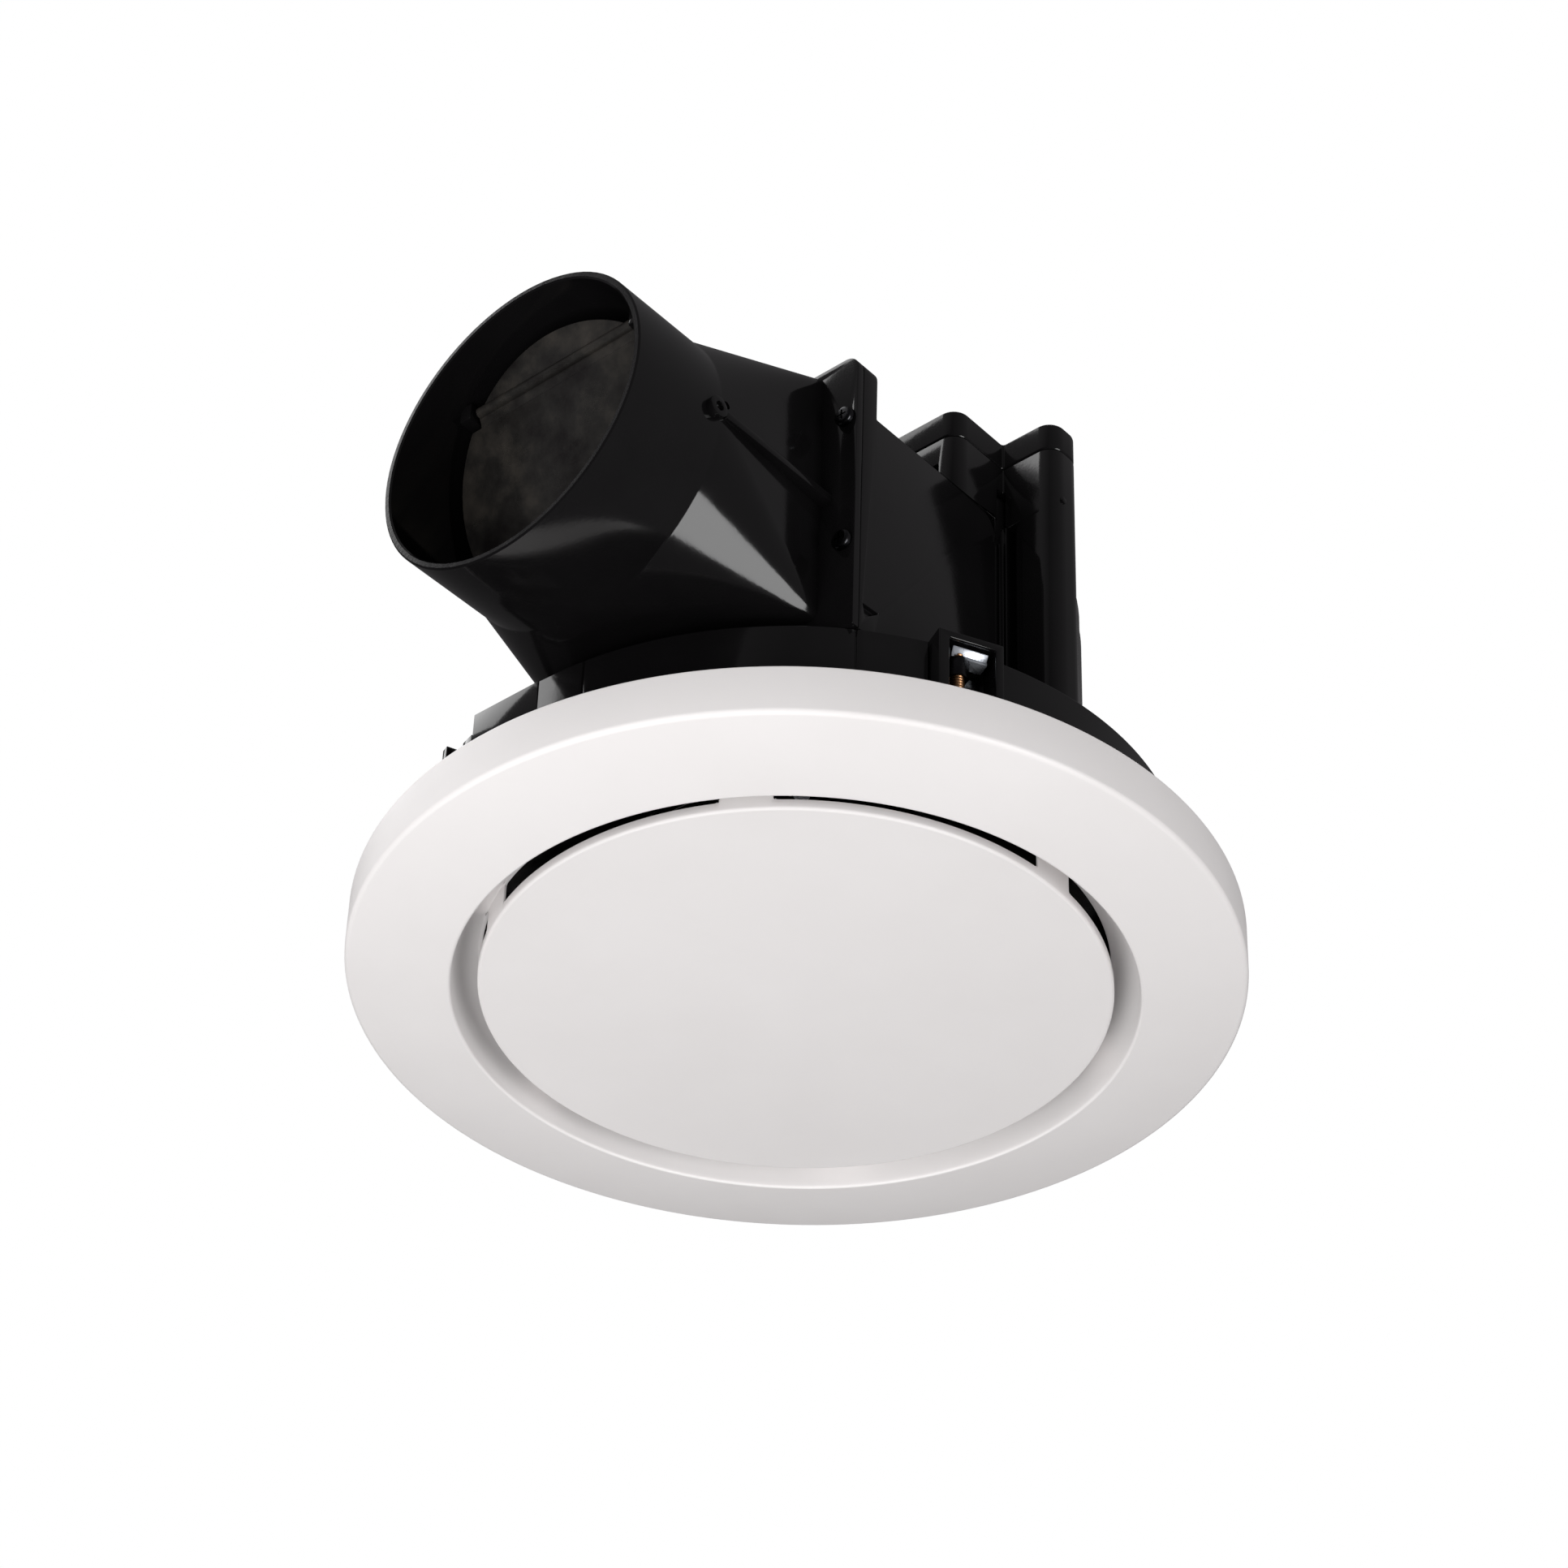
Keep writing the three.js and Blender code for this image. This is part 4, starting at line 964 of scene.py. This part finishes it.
def wiring_box():
    """The open box on its two columns, hollowed out for the wires."""
    back = SIDE_WALL_Y - GAP
    foot_outline = rounded_box(WIRING_STEP, WIRING_RIGHT, WIRING_NEAR, back, WIRING_CORNER, 10)
    column = prism(foot_outline, HOUSING_BOTTOM, HOUSING_TOP + 2)
    slim = prism(rounded_box(0, 11, -97.5, back, 2.5), HOUSING_BOTTOM, COVER_TOP - 1)
    body = prism(box_outline(0), HOUSING_TOP + GAP, LID_Z - GAP)
    cut(body, prism(cover_outline(0.2), HOUSING_TOP - 1, COVER_TOP + GAP))
    fuse(body, column, slim)
    cut(body, prism(box_outline(2), COVER_TOP + 2.2, LID_Z + 1))
    cut(body, prism(rounded_box(-6, 4, -101, -88, 3), HOUSING_BOTTOM + 2, LID_Z + 1))
    rivet = along_y(1.1, WIRING_NEAR - 0.5, WIRING_NEAR + 0.6, -3.3, 116.2)
    return gather(soften(body, 0.4, 3), soften(rivet, 0.3))


def wiring_lid():
    cap = prism(box_outline(0), LID_Z, BOX_TOP)
    cut(cap, prism(box_outline(2), LID_Z - 1, BOX_TOP - 2))
    return soften(cap, 0.8, 4)


place(wiring_box(), "wiring_housing", "root", "black_abs", "wiring_box")
place(wiring_lid(), "wiring_cap", "root", "black_abs", "wiring_lid")


# ---------------------------------------------------------------- inside

def inlet_ring():
    """The bell mouth that leads the air into the impeller's eye."""
    top = DECK_Z + WALL
    outline = fillet([
        (57, DECK_Z + 0.2, 0.3), (57, top + GAP), (62, top + GAP, 0.3), (62, top + 2, 0.5),
        (56, top + 2, 4), (49.5, 30, 10), (48, 38, 0.5), (45.8, 38, 0.5), (47, 29, 10),
        (54, DECK_Z + 0.2, 4),
    ], 8)
    return soften(lathe(outline, 192), 0)


place(inlet_ring(), "bell_mouth", "root", "black_abs", "inlet_ring")


def blade():
    """One curved blade that runs into the shroud and the back disc."""
    inner, outer = BLADE_IN + 0.6, IMPELLER_R - 0.6
    shares = [k / 8 for k in range(9)]
    front = [Vector((inner + (outer - inner) * s, -BLADE_CURVE * s ** 2)) for s in shares]
    back = [p + Vector((0, BLADE_THICK)) for p in reversed(front)]
    return prism(front + back, SHROUD_Z + 1, BACK_Z + 1)


def impeller():
    """The back disc, its boss and webs, the blades, and the shroud round the eye."""
    back_top, shroud_top = BACK_Z + WHEEL_THICK, SHROUD_Z + WHEEL_THICK
    back = lathe(fillet([
        (9, BACK_Z), (IMPELLER_R, BACK_Z, 0.4), (IMPELLER_R, back_top, 0.4), (9, back_top),
    ]), 160)
    boss = lathe(fillet([
        (4.3, 66, 0.3), (10, 66, 0.6), (11, BACK_Z), (11, back_top, 0.4), (4.3, back_top, 0.3),
    ]), 64)
    shroud = lathe(fillet([
        (BLADE_IN, SHROUD_Z, 0.5), (IMPELLER_R, SHROUD_Z, 0.5), (IMPELLER_R, shroud_top, 0.5),
        (BLADE_IN, shroud_top, 0.5),
    ]), 160)
    parts = [soften(p, 0) for p in (back, boss, shroud)]
    blades = gather(*[moved(blade(), spin(360 * k / BLADES)) for k in range(BLADES)])
    webs = gather(*[moved(block(9, 30, -1, 1, BACK_Z - 8, BACK_Z + 1), spin(60 * k)) for k in range(6)])
    return gather(*parts, soften(blades, 0.2), soften(webs, 0.4))


place(impeller(), "impeller_wheel", "rotor", "black_abs", "impeller")

# The CAD nodes that stay get their slot's material
for entry in frame["record"]["subparts"]:
    node = frame["nodes"][entry["node"]]
    if not node.hide_render:
        node.data.materials.clear()
        node.data.materials.append(MATERIALS[entry["material_slot"]])


# ---------------------------------------------------------------- camera, light and floor

def toward(azimuth, elevation):
    """The unit vector at an azimuth from +X and an elevation, in degrees."""
    level = math.cos(math.radians(elevation))
    flat = polar(level, azimuth)
    return Vector((flat.x, flat.y, math.sin(math.radians(elevation))))


# What the lights aim at: the middle of the fan, or the cone of the adaptor
CENTRE = Vector((0, 0, 60)) * MM
CONE = Vector((-100, -70, 50)) * MM

# The camera that was solved from the photo, in metres and millimetres
CAMERA_AT = (-0.74244, -0.65130, -0.69229)
CAMERA_RIGHT = Vector((0.64743483, -0.76161732, 0.02770757))
CAMERA_UP = Vector((-0.47624615, -0.37592837, 0.79490104))
LENS = 93.78
SENSOR = 36

# Strength of the dim room that the surfaces mirror: darkest, towards the camera, and behind
ROOM_LIGHT_SIDE = toward(-50, 10)
ROOM_BACK_SIDE = toward(139, 38)
ROOM_DARK = 0.02
ROOM_LIGHT = 0.14
ROOM_BACK = 0.13

FLOOR_Z = -1500
FLOOR_HALF = 6000


def camera():
    data = bpy.data.cameras.new("camera")
    data.lens = LENS
    data.sensor_width = SENSOR
    item = bpy.data.objects.new("camera", data)
    bpy.context.scene.collection.objects.link(item)
    back = CAMERA_RIGHT.cross(CAMERA_UP)
    turn = Matrix((CAMERA_RIGHT, CAMERA_UP, back)).transposed().to_4x4()
    item.matrix_world = Matrix.Translation(CAMERA_AT) @ turn
    bpy.context.scene.camera = item


def softbox(name, azimuth, elevation, distance, width, height, radiance, mirrored=True, aim=CENTRE):
    """An area light that faces its aim, in metres. Unless mirrored, it only lights matt surfaces."""
    data = bpy.data.lights.new(name, "AREA")
    data.shape = "RECTANGLE"
    data.size = width
    data.size_y = height
    data.energy = radiance * math.pi * width * height
    item = bpy.data.objects.new(name, data)
    bpy.context.scene.collection.objects.link(item)
    away = toward(azimuth, elevation)
    item.location = aim + away * distance
    item.rotation_euler = away.to_track_quat("Z", "Y").to_euler()
    item.visible_glossy = mirrored
    item.visible_camera = False


def gradient(tree, direction, low, high, start, end):
    """Grows from low to high as the direction looked in comes round to the one given."""
    where = tree.nodes.new("ShaderNodeTexCoord")
    lean = tree.nodes.new("ShaderNodeVectorMath")
    lean.operation = "DOT_PRODUCT"
    lean.inputs[1].default_value = direction
    tree.links.new(where.outputs["Generated"], lean.inputs[0])
    return ranged(tree, lean.outputs["Value"], low, high, start, end)


def surroundings():
    """A white backdrop for the camera, and a dim room for the surfaces, lighter on two sides."""
    world = bpy.data.worlds.new("studio")
    world.use_nodes = True
    bpy.context.scene.world = world
    tree = world.node_tree
    tree.nodes.clear()
    path = tree.nodes.new("ShaderNodeLightPath")
    seen = tree.nodes.new("ShaderNodeBackground")
    seen.inputs["Color"].default_value = (1, 1, 1, 1)
    total = tree.nodes.new("ShaderNodeMath")
    total.operation = "ADD"
    front = gradient(tree, ROOM_LIGHT_SIDE, ROOM_DARK, ROOM_LIGHT, -0.8, 1.0)
    behind = gradient(tree, ROOM_BACK_SIDE, 0, ROOM_BACK, 0.6, 0.95)
    tree.links.new(front, total.inputs[0])
    tree.links.new(behind, total.inputs[1])
    room = tree.nodes.new("ShaderNodeBackground")
    room.inputs["Color"].default_value = (1, 0.97, 1, 1)
    tree.links.new(total.outputs["Value"], room.inputs["Strength"])
    mix = tree.nodes.new("ShaderNodeMixShader")
    out = tree.nodes.new("ShaderNodeOutputWorld")
    tree.links.new(path.outputs["Is Camera Ray"], mix.inputs["Fac"])
    tree.links.new(room.outputs["Background"], mix.inputs[1])
    tree.links.new(seen.outputs["Background"], mix.inputs[2])
    tree.links.new(mix.outputs["Shader"], out.inputs["Surface"])


def floor():
    """A pale floor far below, which throws no light back up at the fan."""
    bm = bmesh.new()
    bmesh.ops.create_grid(bm, x_segments=8, y_segments=8, size=FLOOR_HALF)
    bmesh.ops.translate(bm, vec=(0, 0, FLOOR_Z), verts=bm.verts)
    item = to_object("floor", bm)
    material, tree, shader = new_material("pale_floor")
    stops = [(0.3, (0.80, 0.80, 0.80)), (0.7, (0.84, 0.84, 0.84))]
    tree.links.new(ramp(tree, noise(tree, 3, 4, 0.6), stops), shader.inputs["Base Color"])
    shader.inputs["Roughness"].default_value = 0.8
    item.data.materials.append(material)
    item.visible_diffuse = False
    item.visible_glossy = False


camera()
surroundings()
floor()
# Azimuth, elevation, distance, width, height and radiance
softbox("key", -84, -31, 2.0, 0.81, 1.15, 5.5, aim=CONE)
softbox("fill_low", 170, -58, 1.3, 1.6, 1.2, 2.62, mirrored=False)
softbox("fill_front", -70, -10, 1.3, 1.6, 1.0, 1.1, mirrored=False)
softbox("fill_left", 172, -12, 1.3, 1.6, 1.0, 1.95, mirrored=False)
softbox("top", 110, 50, 1.3, 1.0, 0.8, 2.2)
softbox("floor_light", 0, 90, 0.9, 3, 3, 1.0, mirrored=False, aim=Vector((0, 0, FLOOR_Z)) * MM)
bpy.context.scene.view_settings.view_transform = "Standard"
